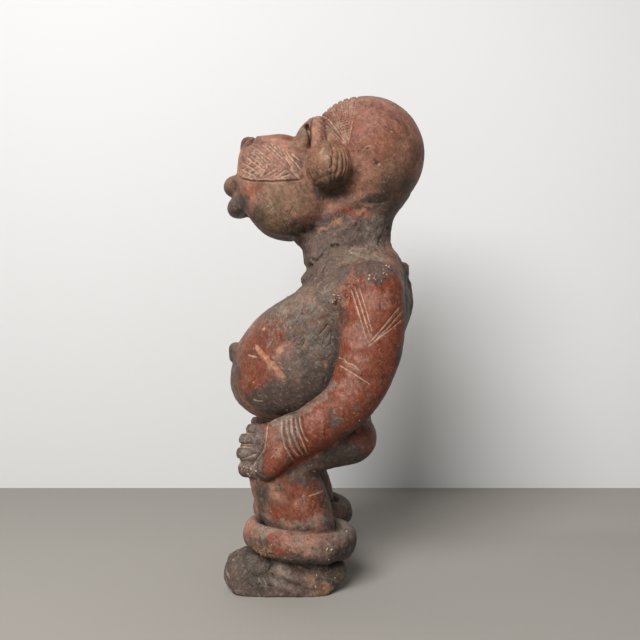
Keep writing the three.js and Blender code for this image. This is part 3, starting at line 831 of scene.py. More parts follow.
# Stretches of each coat as they are seen from the side: the middle as Y and Z, how far it reaches each
# way, its lean in degrees and how strong it is.
BODY_PATCHES = {
    "red_slip": (
        (62, 510, 44, 46, 0, 0.52), (12, 528, 20, 18, 0, 0.7), (30, 500, 14, 30, 0, 0.72),
        (-80, 440, 15, 9, 0, 0.55), (-64, 470, 34, 20, 0, 0.55), (6, 476, 16, 12, 0, 0.62),
        (-8, 470, 12, 16, 0, 0.6), (-34, 505, 12, 5, 0, 0.85), (20, 410, 44, 11, 22, 0.85),
        (-54, 288, 20, 17, 40, 1.3), (-73, 264, 18, 24, -25, 1.4), (-86, 236, 18, 28, 0, 1.1),
        (-68, 229, 20, 13, 0, 0.9), (-8, 112, 17, 26, -15, 1.0), (-36, 118, 12, 20, 0, 0.8),
        (-40, 88, 26, 12, 0, 0.75), (44, 162, 17, 20, 0, 0.95), (-50, 60, 26, 12, 0, 0.9),
        (0, 56, 30, 12, 0, 0.6), (-90, 503, 10, 10, 0, 0.7),
    ),
    "bloom": (
        (-66, 474, 34, 20, 0, 0.6), (34, 544, 44, 14, 0, 0.6), (66, 524, 26, 22, 0, 0.72),
        # The patch at (-8, 60) on the middle of the rings is a painted highlight over the film.
        (-8, 60, 34, 8, 0, 1.3), (-38, 257, 6, 8, 0, 0.8), (-26, 64, 18, 6, 0, 0.9),
    ),
    "grey_crust": (
        (-68, 418, 14, 11, 0, 0.7), (15, 388, 50, 24, 0, 1.0), (50, 400, 40, 14, 0, 0.8),
        (0, 350, 40, 26, 0, 0.95), (-20, 296, 30, 16, 0, 0.75), (-34, 274, 14, 8, 0, 0.75),
        (-36, 248, 13, 20, 0, 0.85), (2, 318, 18, 14, 0, 0.75), (-14, 256, 14, 20, 0, 0.75),
        (12, 270, 14, 34, 0, 0.9), (6, 150, 40, 14, 0, 0.7), (-18, 132, 26, 13, 0, 0.72),
        (12, 52, 26, 13, 0, 0.75), (-45, 20, 72, 32, 0, 1.25), (-107, 256, 9, 14, 0, 0.95),
        (-44, 309, 22, 9, 38, 0.8),
    ),
    "soot": (
        # Most of these are soot, but (18, 154) and (20, 158) darken the thigh where the forearm shades it,
        # and (6, 402) darkens the underside of the jaw: painted shade. (-56, 394) along the lower edge of
        # the jaw is soot and painted shade.
        (84, 440, 30, 20, 0, 0.64), (58, 428, 27, 11, 8, 0.95), (30, 132, 50, 12, 20, 0.8),
        (18, 154, 26, 14, 0, 0.95), (2, 92, 8, 32, 0, 0.7), (-26, 42, 56, 6, 0, 0.9),
        (20, 57, 15, 20, 0, 1.0), (-67, 60, 13, 14, 0, 0.78), (76, 416, 18, 22, 0, 0.7),
        (-110, 438, 14, 34, 0, 0.62), (-101, 426, 16, 13, 0, 1.15), (-56, 394, 36, 10, 10, 0.85),
        (40, 174, 24, 12, 0, 0.5), (-44, 122, 12, 18, 0, 0.45), (66, 410, 22, 12, 0, 0.36),
        (8, 388, 34, 18, 0, 0.34), (6, 372, 18, 14, 0, 0.62), (-52, 432, 9, 13, -20, 0.42),
        (-36, 416, 13, 7, 20, 0.45), (6, 402, 22, 9, 15, 0.42), (-88, 26, 26, 20, 0, 0.45),
        (-66, 280, 16, 16, 0, 0.42), (-72, 410, 7, 14, 0, 0.65), (-89, 497, 12, 8, 0, 0.55),
        (7, 440, 26, 10, 0, 0.95), (-10, 262, 30, 30, 0, 0.62), (-72, 250, 26, 34, 0, 0.38),
        (-50, 316, 30, 9, 38, 0.74), (-25, 214, 50, 20, 0, 1.0), (-66, 204, 28, 11, -25, 1.0),
        (-4, 232, 24, 18, 0, 1.0), (-10, 165, 44, 13, 0, 0.75), (20, 158, 44, 8, 10, 0.7),
        (-66, 104, 9, 30, -8, 0.8), (-74, 24, 26, 20, -20, 0.66), (-104, 226, 8, 42, 8, 0.62),
        (-108, 256, 6, 12, 0, 0.6), (8, 22, 15, 18, 0, 0.65), (98, 320, 14, 50, 0, 0.75),
        (-22, 507, 7, 10, 0, 0.7), (4, 508, 4, 14, 0, 0.5),
    ),
    "earth": (
        (-66, 432, 8, 12, 0, 0.6), (-104, 450, 12, 12, 0, 0.6), (-44, 428, 32, 24, 0, 0.8),
        (-58, 405, 26, 12, 0, 0.65), (0, 456, 20, 12, 0, 0.6), (-28, 500, 12, 18, -20, 0.6),
        (5, 508, 5, 14, 0, 0.85), (84, 470, 20, 30, 0, 0.5), (4, 470, 26, 22, 0, 0.72),
        (42, 366, 30, 12, 0, 0.95), (-34, 314, 34, 10, 36, 0.85), (-12, 20, 4.5, 8, 20, 1.1),
        (-3, 6, 11, 7, 0, 1.1), (-62, 54, 14, 12, 0, 0.75),
    ),
    "bare_clay": (
        (12, 474, 7, 9, 20, 0.36), (14, 403, 10, 4.5, 25, 0.62), (-3, 395, 9, 3.5, 15, 0.58),
        (40, 418, 4, 6, -35, 0.54), (46, 427, 7, 3, 0, 0.54), (-12, 21, 3, 6, 20, 0.6),
        (0, 8, 7, 5, 0, 0.55), (1.5, 245, 3, 5, 0, 0.7), (-68, 52, 9, 7, 0, 0.55),
    ),
    "grey_film": (
        (8, 298, 7, 12, 0, 0.7), (24, 69, 13, 8, 0, 0.95), (-10, 274, 22, 24, 0, 0.5),
        (-34, 304, 38, 24, 30, 0.58), (60, 392, 16, 24, 0, 0.62), (-6, 58, 26, 5, 0, 0.5),
        (-32, 63, 16, 6, 0, 0.52), (-24, 78, 44, 6, 0, 0.75), (-66, 76, 9, 10, 0, 0.85),
        (-47, 28, 12, 13, -35, 1.05), (-74, 41, 10, 5, 20, 0.95), (38, 366, 18, 8, 0, 0.85),
        (52, 364, 18, 7, 0, 0.85), (2, 321, 12, 11, 0, 0.62),
    ),
    "groove_dust": (
        # The patch at (1, 475) on the ear paints the glint of its glossy boss; the rest is pale dust.
        (15, 404, 6, 3, 25, 0.5), (-60, 419, 6, 10, 0, 0.48), (-46, 29, 8, 9, -35, 0.5),
        (-73, 40, 9, 4, 20, 0.46), (1, 475, 6, 8, 0, 0.46), (-42, 441, 3, 7, 0, 0.42),
    ),
}
ARM_PATCHES = {
    "grey_crust": (
        (50, 354, 44, 15, 0, 1.0), (18, 318, 7, 26, 0, 0.75), (12, 192, 7, 10, 20, 0.75),
        (30, 203, 6, 4, 0, 0.65), (-38, 182, 14, 20, 0, 0.75), (-44, 191, 22, 8, 10, 0.95),
        (-86, 156, 24, 40, 0, 1.1), (-70, 138, 9, 8, 0, 0.8),
    ),
    "grey_film": (
        (-42, 187, 16, 11, 0, 0.5), (7, 226, 4, 8, -40, 0.75), (-84, 158, 20, 26, 0, 0.6),
        (-4, 212, 5, 9, -45, 0.8), (-18, 201, 5, 10, -58, 0.85),
    ),
    "soot": (
        (58, 337, 18, 5, 0, 0.75), (92, 300, 9, 40, 0, 0.75), (84, 238, 9, 34, 20, 0.7),
        (40, 180, 34, 9, 30, 0.75), (-62, 127, 16, 6, 0, 0.85),
    ),
    "bloom": (
        # The patches at (34, 279) and (30, 250) paint the sheen where the burnished upper arm faces the key
        # lamp: a painted highlight over the pinkish film.
        (54, 317, 14, 9, 0, 0.85), (34, 279, 17, 13, -10, 1.25), (30, 250, 14, 10, 0, 0.7),
        (26, 226, 16, 12, 40, 0.75), (-12, 190, 14, 8, 20, 0.6), (-44, 174, 18, 20, 0, 1.0),
    ),
    "earth": (
        (22, 338, 9, 14, 20, 0.75), (-100, 150, 8, 26, 0, 0.6),
    ),
    "bare_clay": (
        (23, 311, 4, 7, 0, 0.7),
    ),
}


def arm_share(points):
    """How far each point belongs to an arm or hand, from 0 to 1, read from the arms alone."""
    arms = empty_grid(step=3.0)
    model_arms(arms)
    return 1 - step_up(0.5, 4.5, arms.at(points))


def coats(points, marks):
    """How much of each coat lies at each point, from the patches and the marks."""
    amounts = {name: np.zeros(len(points)) for name in COATS}
    y = points[:, 1] + 5 * lumps(points, 17, 60) + 2.5 * lumps(points, 6, 61)
    z = points[:, 2] + 5 * lumps(points, 17, 62) + 2.5 * lumps(points, 6, 63)
    side = np.where(points[:, 0] > 0, 1.0, 0.82)
    arm = arm_share(points)
    amounts["red_slip"] += 0.95 * arm
    for patches, share in ((BODY_PATCHES, 1 - arm), (ARM_PATCHES, arm)):
        rows = [(name, *row) for name, held in patches.items() for row in held]
        for name, cy, cz, ry, rz, lean, strength in rows:
            c, s = math.cos(math.radians(lean)), math.sin(math.radians(lean))
            u, v = (c * (y - cy) + s * (z - cz)) / ry, (c * (z - cz) - s * (y - cy)) / rz
            value = strength * np.clip(1.3 - 0.8 * (u * u + v * v), 0, 1)
            amounts[name] = np.maximum(amounts[name], value * side * share)
    for seed, name in enumerate(("red_slip", "grey_crust", "soot", "earth", "bloom")):
        amounts[name] += 0.16 * lumps(points, 24, 40 + seed)
        amounts[name] += np.where(points[:, 0] < 0, 0.2, 0) * lumps(points, 33, 50 + seed)
    for name, fill in cut_marks(points, marks)[1].items():
        amounts[name] = np.maximum(amounts[name], fill)
    # The pale on the ridges of the ear is partly a painted highlight.
    for dust in (fringe(points)[1], ear_ribs(points)[1]):
        amounts["groove_dust"] = np.maximum(amounts["groove_dust"], dust)
    return amounts


# Crumbs of earth and grit: how many to the square metre where they lie thickest, the share of that which
# lies everywhere, and where they cling: the middle as Y and Z, how far they reach, and how thickly.
CRUMBS_PER_M2 = 95000.0
STRAY_CRUMBS = 0.006
CRUMB_PLACES = (
    (56, 342, 13, 5, 1.0), (50, 337, 20, 4, 0.4), (62, 350, 20, 6, 0.2), (13, 316, 6, 9, 0.8),
    (26, 316, 4, 8, 0.6), (4, 53, 12, 8, 0.2), (-62, 52, 12, 12, 0.25), (0, 20, 12, 18, 0.3),
    (-82, 134, 10, 8, 0.5), (44, 366, 24, 10, 0.12), (-14, 343, 14, 8, 0.12),
)


def crumb_cover(points):
    """How thickly crumbs lie at each point, from 0 to 1."""
    cover = np.full(len(points), STRAY_CRUMBS)
    for y, z, ry, rz, thick in CRUMB_PLACES:
        near = ((points[:, 1] - y) / ry) ** 2 + ((points[:, 2] - z) / rz) ** 2
        cover = np.maximum(cover, thick * np.clip(1.2 - near, 0, 1))
    return cover * np.where(points[:, 0] > 0, 1.0, 0.6) * (points[:, 2] > 2)


def hollows(points, normals, clay):
    """How deep in a crease each point lies, and how far it stands proud, from 0 to 1."""
    # The air is felt for 7 mm and 18 mm out from the skin, and the clay 5 mm in.
    open_air, wide_air = (clay.at(points + out * normals) / out for out in (7, 18))
    solid = -clay.at(points - 5 * normals) / 5
    # The crease amount is later laid on as painted shade, dark in every crease.
    crease = np.clip(1.25 - 0.75 * open_air - 0.5 * wide_air, 0, 1)
    return crease, np.clip(1.15 - solid, 0, 1)


def mesh_from(name, points, faces):
    """A Blender mesh from points in millimetres and faces with equal numbers of corners."""
    mesh = bpy.data.meshes.new(name)
    mesh.vertices.add(len(points))
    mesh.vertices.foreach_set("co", (points * MM).astype(np.float32).ravel())
    mesh.loops.add(faces.size)
    mesh.loops.foreach_set("vertex_index", faces.astype(np.int32).ravel())
    mesh.polygons.add(len(faces))
    mesh.polygons.foreach_set("loop_start", np.arange(0, faces.size, faces.shape[1], dtype=np.int32))
    mesh.update(calc_edges=True)
    mesh.polygons.foreach_set("use_smooth", np.ones(len(faces), bool))
    return mesh


def vectors_from(items, field):
    """Three numbers for each item of a mesh, such as the place of each vertex."""
    numbers = np.empty(3 * len(items), np.float32)
    items.foreach_get(field, numbers)
    return numbers.reshape(-1, 3)


def hold(mesh, name, amount):
    """Keeps a number for each point of a mesh, for its finish or its node tree to read."""
    mesh.attributes.new(name, "FLOAT", "POINT").data.foreach_set("value", amount.astype(np.float32))


def finished(name, mesh):
    """Puts a mesh in the scene as a piece, at the origin."""
    piece = bpy.data.objects.new(name, mesh)
    bpy.context.scene.collection.objects.link(piece)
    return piece


def settle(piece):
    """Turns a piece and its modifier into a plain mesh, and takes the modifier off."""
    graph = bpy.context.evaluated_depsgraph_get()
    mesh = bpy.data.meshes.new_from_object(piece.evaluated_get(graph))
    piece.modifiers.clear()
    piece.data = mesh


def thin(piece, triangles, fine):
    """Takes triangles out of a piece until it has the number asked for, and spares the fine points."""
    group = piece.vertex_groups.new(name="plain")
    group.add(np.flatnonzero(~fine).tolist(), 1.0, "REPLACE")
    modifier = piece.modifiers.new("thin", "DECIMATE")
    modifier.vertex_group = group.name
    modifier.ratio = min(1.0, triangles / (2 * len(piece.data.polygons)))
    settle(piece)


# What lies on the fired clay, from the first coat to the last: how much lighter it is where it is
# thin, how ragged and how soft its edge is, how rough it is, and how much it hides.
Coat = namedtuple("Coat", "fade ragged soft rough hides")
COATS = {
    "red_slip": Coat(0.74, 0.7, 0.36, 0.38, 0.9),
    "grey_crust": Coat(1.8, 0.9, 0.3, 0.75, 0.85),
    "soot": Coat(1.9, 0.8, 0.34, 0.5, 0.88),
    "earth": Coat(0.7, 0.9, 0.4, 0.75, 0.7),
    # A pinkish film that in places is painted sheen.
    "bloom": Coat(0.8, 1.0, 0.45, 0.42, 0.45),
    "grey_film": Coat(0.7, 1.1, 0.35, 0.85, 0.6),
    "bare_clay": Coat(0.8, 0.4, 0.32, 0.8, 0.92),
    "groove_dust": Coat(0.75, 0.4, 0.2, 0.9, 0.8),
    # The darkest coat is dirt in the cuts and painted shade in the creases.
    "crevice": Coat(1.6, 0.3, 0.2, 0.85, 0.6),
}

# Noise in the finish: the size of its lumps in millimetres, its detail and its roughness.
NOISES = {
    "cloud": (30, 4, 0.6),
    "haze": (15, 7, 0.7),
    "grime": (11, 7, 0.7),
    "fray": (8, 9, 0.75),
    "mottle": (4.5, 6, 0.7),
    "grain": (1.7, 5, 0.7),
}
# Noise that is drawn out into streaks: its lean in degrees, how much longer it is than wide, and the rest.
STREAKS = {
    "streak": (38, 6, 2.6, 5, 0.65),
    "brushed": (-34, 9, 2.0, 4, 0.6),
}


def add(tree, kind, links=None, **settings):
    """Adds a node, with its settings, and with a value or a link for each socket named."""
    node = tree.nodes.new(kind)
    for name, value in settings.items():
        setattr(node, name, value)
    for socket, value in (links or {}).items():
        if isinstance(value, bpy.types.NodeSocket):
            tree.links.new(value, node.inputs[socket])
        else:
            node.inputs[socket].default_value = value
    return node


def blank_finish(name):
    """A new material, its node tree and its shader."""
    material = bpy.data.materials.new(name)
    material.use_nodes = True
    tree = material.node_tree
    return material, tree, tree.nodes["Principled BSDF"]


def noise_fields(tree, place):
    """The noises of the finish, the even ones and those drawn out into slanting streaks."""
    fields = {}
    for name, (size, detail, rough) in NOISES.items():
        settings = {"Vector": place, "Scale": 1 / (size * MM), "Detail": detail, "Roughness": rough}
        fields[name] = add(tree, "ShaderNodeTexNoise", settings).outputs["Fac"]
    for name, (lean, longer, size, detail, rough) in STREAKS.items():
        turned = {"Vector": place, "Rotation": (math.radians(lean), 0, 0), "Scale": (1, 1, longer)}
        drawn_out = add(tree, "ShaderNodeMapping", turned, vector_type="TEXTURE").outputs["Vector"]
        settings = {"Vector": drawn_out, "Scale": 1 / (size * MM), "Detail": detail, "Roughness": rough}
        fields[name] = add(tree, "ShaderNodeTexNoise", settings).outputs["Fac"]
    return fields


def fleck_mask(tree, place, spacing, radius, share):
    """Round flecks in a share of the cells of a random net, all in millimetres."""
    cells = add(tree, "ShaderNodeTexVoronoi", {"Vector": place, "Scale": 1 / (spacing * MM)})
    edge, core = radius / spacing, 0.4 * radius / spacing
    reach = {"Value": cells.outputs["Distance"], "From Min": edge, "From Max": core}
    dot = add(tree, "ShaderNodeMapRange", reach).outputs["Result"]
    chosen = {0: cells.outputs["Color"], 1: 1 - share}
    chosen = add(tree, "ShaderNodeMath", chosen, operation="GREATER_THAN").outputs[0]
    return add(tree, "ShaderNodeMath", {0: dot, 1: chosen}, operation="MULTIPLY").outputs[0]


def scratch_mask(tree, place, lean_deg):
    """Fine scratches about 1 mm wide and 8 mm long, leaning as the angle says."""
    turned = {"Vector": place, "Rotation": (math.radians(lean_deg), 0, 0), "Scale": (1, 8, 1)}
    drawn_out = add(tree, "ShaderNodeMapping", turned, vector_type="TEXTURE").outputs["Vector"]
    settings = {"Vector": drawn_out, "Scale": 1 / (1.6 * MM), "Detail": 1, "Roughness": 0.5}
    lines = add(tree, "ShaderNodeTexNoise", settings).outputs["Fac"]
    spread = {"Value": lines, "From Min": 0.72, "From Max": 0.77}
    return add(tree, "ShaderNodeMapRange", spread).outputs["Result"]


def coated(tree, fields, colour, tints):
    """Lays the coats on the clay, and gives the colour, the roughness and where each coat shows."""
    rough, masks = 0.55, {}
    # Noise that runs across every coat frays its edge, so that no patch is a clean oval.
    for name, coat in COATS.items():
        held = add(tree, "ShaderNodeAttribute", attribute_name=name).outputs["Fac"]
        coarse = {0: fields["fray"], 1: 2.4 * coat.ragged, 2: -1.2 * coat.ragged}
        coarse = add(tree, "ShaderNodeMath", coarse, operation="MULTIPLY_ADD").outputs[0]
        fine = {0: fields["mottle"], 1: coat.ragged, 2: -0.5 * coat.ragged}
        fine = add(tree, "ShaderNodeMath", fine, operation="MULTIPLY_ADD").outputs[0]
        total = add(tree, "ShaderNodeMath", {0: held, 1: coarse}, operation="ADD").outputs[0]
        total = add(tree, "ShaderNodeMath", {0: total, 1: fine}, operation="ADD").outputs[0]
        low, high = 0.5 - coat.soft, 0.5 + coat.soft
        spread = {"Value": total, "From Min": low, "From Max": high, "To Max": coat.hides}
        mask = add(tree, "ShaderNodeMapRange", spread, interpolation_type="SMOOTHSTEP").outputs["Result"]
        thick = getattr(tints, name)
        tone = {0: fields["mottle"], 6: (*(coat.fade * c for c in thick), 1), 7: (*thick, 1)}
        tone = add(tree, "ShaderNodeMix", tone, data_type="RGBA").outputs[2]
        colour = add(tree, "ShaderNodeMix", {0: mask, 6: colour, 7: tone}, data_type="RGBA").outputs[2]
        rough = add(tree, "ShaderNodeMix", {0: mask, 2: rough, 3: coat.rough}).outputs[0]
        masks[name] = mask
    return colour, rough, masks


def weathered(tree, fields, colour, crust):
    """Brushes earth into the crust, lays haze and grime over every coat, and varies the tone."""
    # Thin earth is brushed into the crust in slanting streaks.
    spread = {"Value": fields["brushed"], "From Min": 0.5, "From Max": 0.66, "To Max": 0.44}
    brushed = {0: add(tree, "ShaderNodeMapRange", spread).outputs["Result"], 1: crust}
    brushed = add(tree, "ShaderNodeMath", brushed, operation="MULTIPLY").outputs[0]
    settings = {0: brushed, 6: colour, 7: linear("#807360", 1)}
    colour = add(tree, "ShaderNodeMix", settings, data_type="RGBA").outputs[2]
    # A thin dusty haze and old handling grime lie over every coat, in clouds 11 to 15 mm across.
    for name, tint, low, high, hides in (
        ("haze", "#866f61", 0.52, 0.76, 0.18),
        ("grime", "#302923", 0.46, 0.7, 0.5),
    ):
        spread = {"Value": fields[name], "From Min": low, "From Max": high, "To Max": hides}
        cover = add(tree, "ShaderNodeMapRange", spread).outputs["Result"]
        settings = {0: cover, 6: colour, 7: linear(tint, 1)}
        colour = add(tree, "ShaderNodeMix", settings, data_type="RGBA").outputs[2]
    # The tone shifts from spot to spot, from a few millimetres down to the grit.
    shade = None
    for name, low, high, least, most in (
        ("mottle", 0.35, 0.65, 0.72, 1.25),
        ("grain", 0.33, 0.67, 0.78, 1.22),
        ("streak", 0.33, 0.67, 0.82, 1.18),
    ):
        spread = {"Value": fields[name], "From Min": low, "From Max": high, "To Min": least, "To Max": most}
        part = add(tree, "ShaderNodeMapRange", spread).outputs["Result"]
        if shade is not None:
            part = add(tree, "ShaderNodeMath", {0: shade, 1: part}, operation="MULTIPLY").outputs[0]
        shade = part
    return add(tree, "ShaderNodeVectorMath", {0: colour, "Scale": shade}, operation="SCALE").outputs[0]


def fired_clay(tints):
    """Low-fired red earthenware, burnished by hand and partly slipped, under soot, crust and earth, with
    shade painted into its creases and a few painted highlights.

    The burnish gives the slip a soft sheen, the crust is dull and gritty, and pale dust sits in the
    cuts. Each coat's amount is held in an attribute, and noise in lumps of 8 and 4.5 mm frays its edge.
    """
    material, tree, shader = blank_finish("burnished_earthenware")
    place = add(tree, "ShaderNodeTexCoord").outputs["Object"]
    fields = noise_fields(tree, place)
    body = add(tree, "ShaderNodeValToRGB", {"Fac": fields["cloud"]})
    ramp = body.color_ramp
    ramp.elements[0].position, ramp.elements[1].position = 0.34, 0.66
    ramp.elements[0].color, ramp.elements[1].color = (*tints.clay_dark, 1), (*tints.clay_light, 1)
    colour, rough, masks = coated(tree, fields, body.outputs["Color"], tints)
    colour = weathered(tree, fields, colour, masks["grey_crust"])
    holes = fleck_mask(tree, place, 5.5, 1.0, 0.45)
    grit = fleck_mask(tree, place, 8.5, 0.8, 0.25)
    flecks = [(scratch_mask(tree, place, lean), "#9b8979", 0.5) for lean in (-32, 15, 55)]
    flecks += [(holes, "#27211d", 0.8), (grit, "#aa9581", 0.55)]
    for mask, tint, hides in flecks:
        mask = add(tree, "ShaderNodeMath", {0: mask, 1: hides}, operation="MULTIPLY").outputs[0]
        settings = {0: mask, 6: colour, 7: linear(tint, 1)}
        colour = add(tree, "ShaderNodeMix", settings, data_type="RGBA").outputs[2]
    tree.links.new(colour, shader.inputs["Base Color"])
    # Handling has worn the gloss unevenly, and the crust is the grittiest.
    worn = {0: fields["mottle"], 1: 0.3, 2: -0.15}
    worn = add(tree, "ShaderNodeMath", worn, operation="MULTIPLY_ADD").outputs[0]
    rough = add(tree, "ShaderNodeMath", {0: rough, 1: worn}, operation="ADD", use_clamp=True).outputs[0]
    tree.links.new(rough, shader.inputs["Roughness"])
    shader.inputs["Specular IOR Level"].default_value = 0.18
    coarse = {0: masks["grey_crust"], 1: 0.9, 2: 0.35}
    coarse = add(tree, "ShaderNodeMath", coarse, operation="MULTIPLY_ADD").outputs[0]
    height = {0: fields["grain"], 1: coarse}
    height = add(tree, "ShaderNodeMath", height, operation="MULTIPLY").outputs[0]
    for field, amount in ((fields["mottle"], 0.8), (fields["streak"], 0.3), (holes, -0.5), (grit, 0.4)):
        settings = {0: field, 1: amount, 2: height}
        height = add(tree, "ShaderNodeMath", settings, operation="MULTIPLY_ADD").outputs[0]
    bump = add(tree, "ShaderNodeBump", {"Strength": 0.8, "Distance": 1.0 * MM, "Height": height})
    tree.links.new(bump.outputs["Normal"], shader.inputs["Normal"])
    return material


def dry_earth(tints):
    """Crumbs of dry laterite and lime grit, matt and powdery, each of its own tone."""
    material, tree, shader = blank_finish("dry_earth_crumbs")
    place = add(tree, "ShaderNodeTexCoord").outputs["Object"]
    tone = add(tree, "ShaderNodeAttribute", attribute_name="tone").outputs["Fac"]
    ramp = add(tree, "ShaderNodeValToRGB", {"Fac": tone})
    stops = ramp.color_ramp.elements
    stops[0].color, stops[1].color = (*tints.crumb_dark, 1), (*tints.crumb_light, 1)
    settings = {"Vector": place, "Scale": 1 / (0.8 * MM), "Detail": 3}
    grain = add(tree, "ShaderNodeTexNoise", settings).outputs["Fac"]
    spread = {"Value": grain, "From Min": 0.3, "From Max": 0.7, "To Min": 0.8, "To Max": 1.15}
    shade = add(tree, "ShaderNodeMapRange", spread).outputs["Result"]
    colour = {0: ramp.outputs["Color"], "Scale": shade}
    colour = add(tree, "ShaderNodeVectorMath", colour, operation="SCALE").outputs[0]
    tree.links.new(colour, shader.inputs["Base Color"])
    shader.inputs["Roughness"].default_value = 0.92
    return material


def crumb_tree(material):
    """Geometry nodes that strew small rough grains over the places marked for them."""
    tree = bpy.data.node_groups.new("earth_crumbs", "GeometryNodeTree")
    sockets = {}
    for name, kind, value in (
        ("Surface", "NodeSocketGeometry", None),
        ("Crumbs per square metre", "NodeSocketFloat", CRUMBS_PER_M2),
        ("Smallest", "NodeSocketFloat", 0.4 * MM),
        ("Largest", "NodeSocketFloat", 1.4 * MM),
        ("Seed", "NodeSocketInt", 12),
    ):
        socket = tree.interface.new_socket(name, in_out="INPUT", socket_type=kind)
        if value is not None:
            socket.default_value = value
        sockets[name] = socket.identifier
    tree.interface.new_socket("Crumbs", in_out="OUTPUT", socket_type="NodeSocketGeometry")
    given = add(tree, "NodeGroupInput").outputs
    cover = add(tree, "GeometryNodeInputNamedAttribute", {"Name": "crumbs"}, data_type="FLOAT")
    settings = {0: given["Crumbs per square metre"], 1: cover.outputs["Attribute"]}
    density = add(tree, "ShaderNodeMath", settings, operation="MULTIPLY").outputs[0]
    settings = {"Mesh": given["Surface"], "Density": density, "Seed": given["Seed"]}
    spots = add(tree, "GeometryNodeDistributePointsOnFaces", settings, distribute_method="RANDOM")
    grain = add(tree, "GeometryNodeMeshIcoSphere", {"Radius": 1.0, "Subdivisions": 1}).outputs["Mesh"]
    settings = {0: (0, 0, 0), 1: (6.28, 6.28, 6.28), "Seed": 3}
    turn = add(tree, "FunctionNodeRandomValue", settings, data_type="FLOAT_VECTOR").outputs[0]
    settings = {2: given["Smallest"], 3: given["Largest"], "Seed": 4}
    size = add(tree, "FunctionNodeRandomValue", settings, data_type="FLOAT").outputs[1]
    settings = {0: (0.4, 0.4, 0.25), 1: (1.7, 1.7, 0.9), "Seed": 5}
    uneven = add(tree, "FunctionNodeRandomValue", settings, data_type="FLOAT_VECTOR").outputs[0]
    settings = {0: uneven, "Scale": size}
    scale = add(tree, "ShaderNodeVectorMath", settings, operation="SCALE").outputs[0]
    settings = {"Points": spots.outputs["Points"], "Instance": grain, "Rotation": turn, "Scale": scale}
    placed = add(tree, "GeometryNodeInstanceOnPoints", settings).outputs[0]
    tone = add(tree, "FunctionNodeRandomValue", {2: 0.0, 3: 1.0, "Seed": 6}, data_type="FLOAT").outputs[1]
    settings = {"Geometry": placed, "Name": "tone", "Value": tone}
    toned = add(
        tree, "GeometryNodeStoreNamedAttribute", settings, data_type="FLOAT", domain="INSTANCE"
    ).outputs[0]
    real = add(tree, "GeometryNodeRealizeInstances", {"Geometry": toned}).outputs[0]
    finish = add(tree, "GeometryNodeSetMaterial", {"Geometry": real, "Material": material}).outputs[0]
    add(tree, "NodeGroupOutput", {"Crumbs": finish})
    return tree, sockets


def tint(name, description, hex_colour):
    """A colour that a user may change."""
    return bpy.props.FloatVectorProperty(
        name=name,
        description=description,
        default=linear(hex_colour),
        subtype="COLOR",
        min=0.0,
        max=1.0,
    )


class FigureColours(bpy.types.PropertyGroup):
    """Colours of the clay, of what lies on it, and of the stage."""

    clay_dark: tint("Dark clay", "The fired clay where it is darkest", "#634639")
    clay_light: tint("Light clay", "The fired clay where it is lightest", "#9d705d")
    red_slip: tint("Red slip", "The burnished red coat", "#783b27")
    grey_crust: tint("Grey crust", "The dull crust on the neck, hands and feet", "#463c38")
    # The blackened stretches are soot, and in a few places painted shade.
    soot: tint("Soot", "The blackened stretches", "#35302b")
    earth: tint("Earth", "The ochre earth that stains the clay", "#806750")
    # The pinkish film is in places a painted highlight on the burnish.
    bloom: tint("Bloom", "The thin pinkish film on the burnished arms", "#9b7365")
    grey_film: tint("Grey film", "The pale dust that settles in corners", "#84796f")
    bare_clay: tint("Bare clay", "The clay where the surface has gone", "#aa7659")
    # Mostly pale dust in the cuts, and on the ear a painted highlight as well.
    groove_dust: tint("Dust in the cuts", "The pale dust in the marks of the tool", "#aa8e79")
    # This dark is dirt in the cuts and painted shade in the creases.
    crevice: tint("Crevices", "The dirt in the deepest places", "#211b18")
    crumb_dark: tint("Dark crumbs", "The darkest of the clinging crumbs", "#735545")
    crumb_light: tint("Light crumbs", "The lightest of the clinging crumbs", "#b69e82")
    floor: tint("Floor", "The floor under the figure", "#959089")
    wall: tint("Wall", "The wall behind the figure", "#cfcecd")


class FigureSizes(bpy.types.PropertyGroup):
    """Sizes of the figure that a user would change."""

    leg_spread: bpy.props.FloatProperty(
        name="Leg spread",
        description="From the middle plane to the middle of a leg",
        default=0.058,
        unit="LENGTH",
    )
    grid_step: bpy.props.FloatProperty(
        name="Grid step",
        description="Spacing of the grid that the clay is pressed on",
        default=0.0010,
        unit="LENGTH",
    )
    triangles: bpy.props.IntProperty(
        name="Triangles",
        description="Most triangles that the finished figure has",
        default=190000,
    )
    crumbs: bpy.props.FloatProperty(
        name="Crumbs",
        description="Crumbs of earth to the square metre where they lie thickest",
        default=CRUMBS_PER_M2,
    )


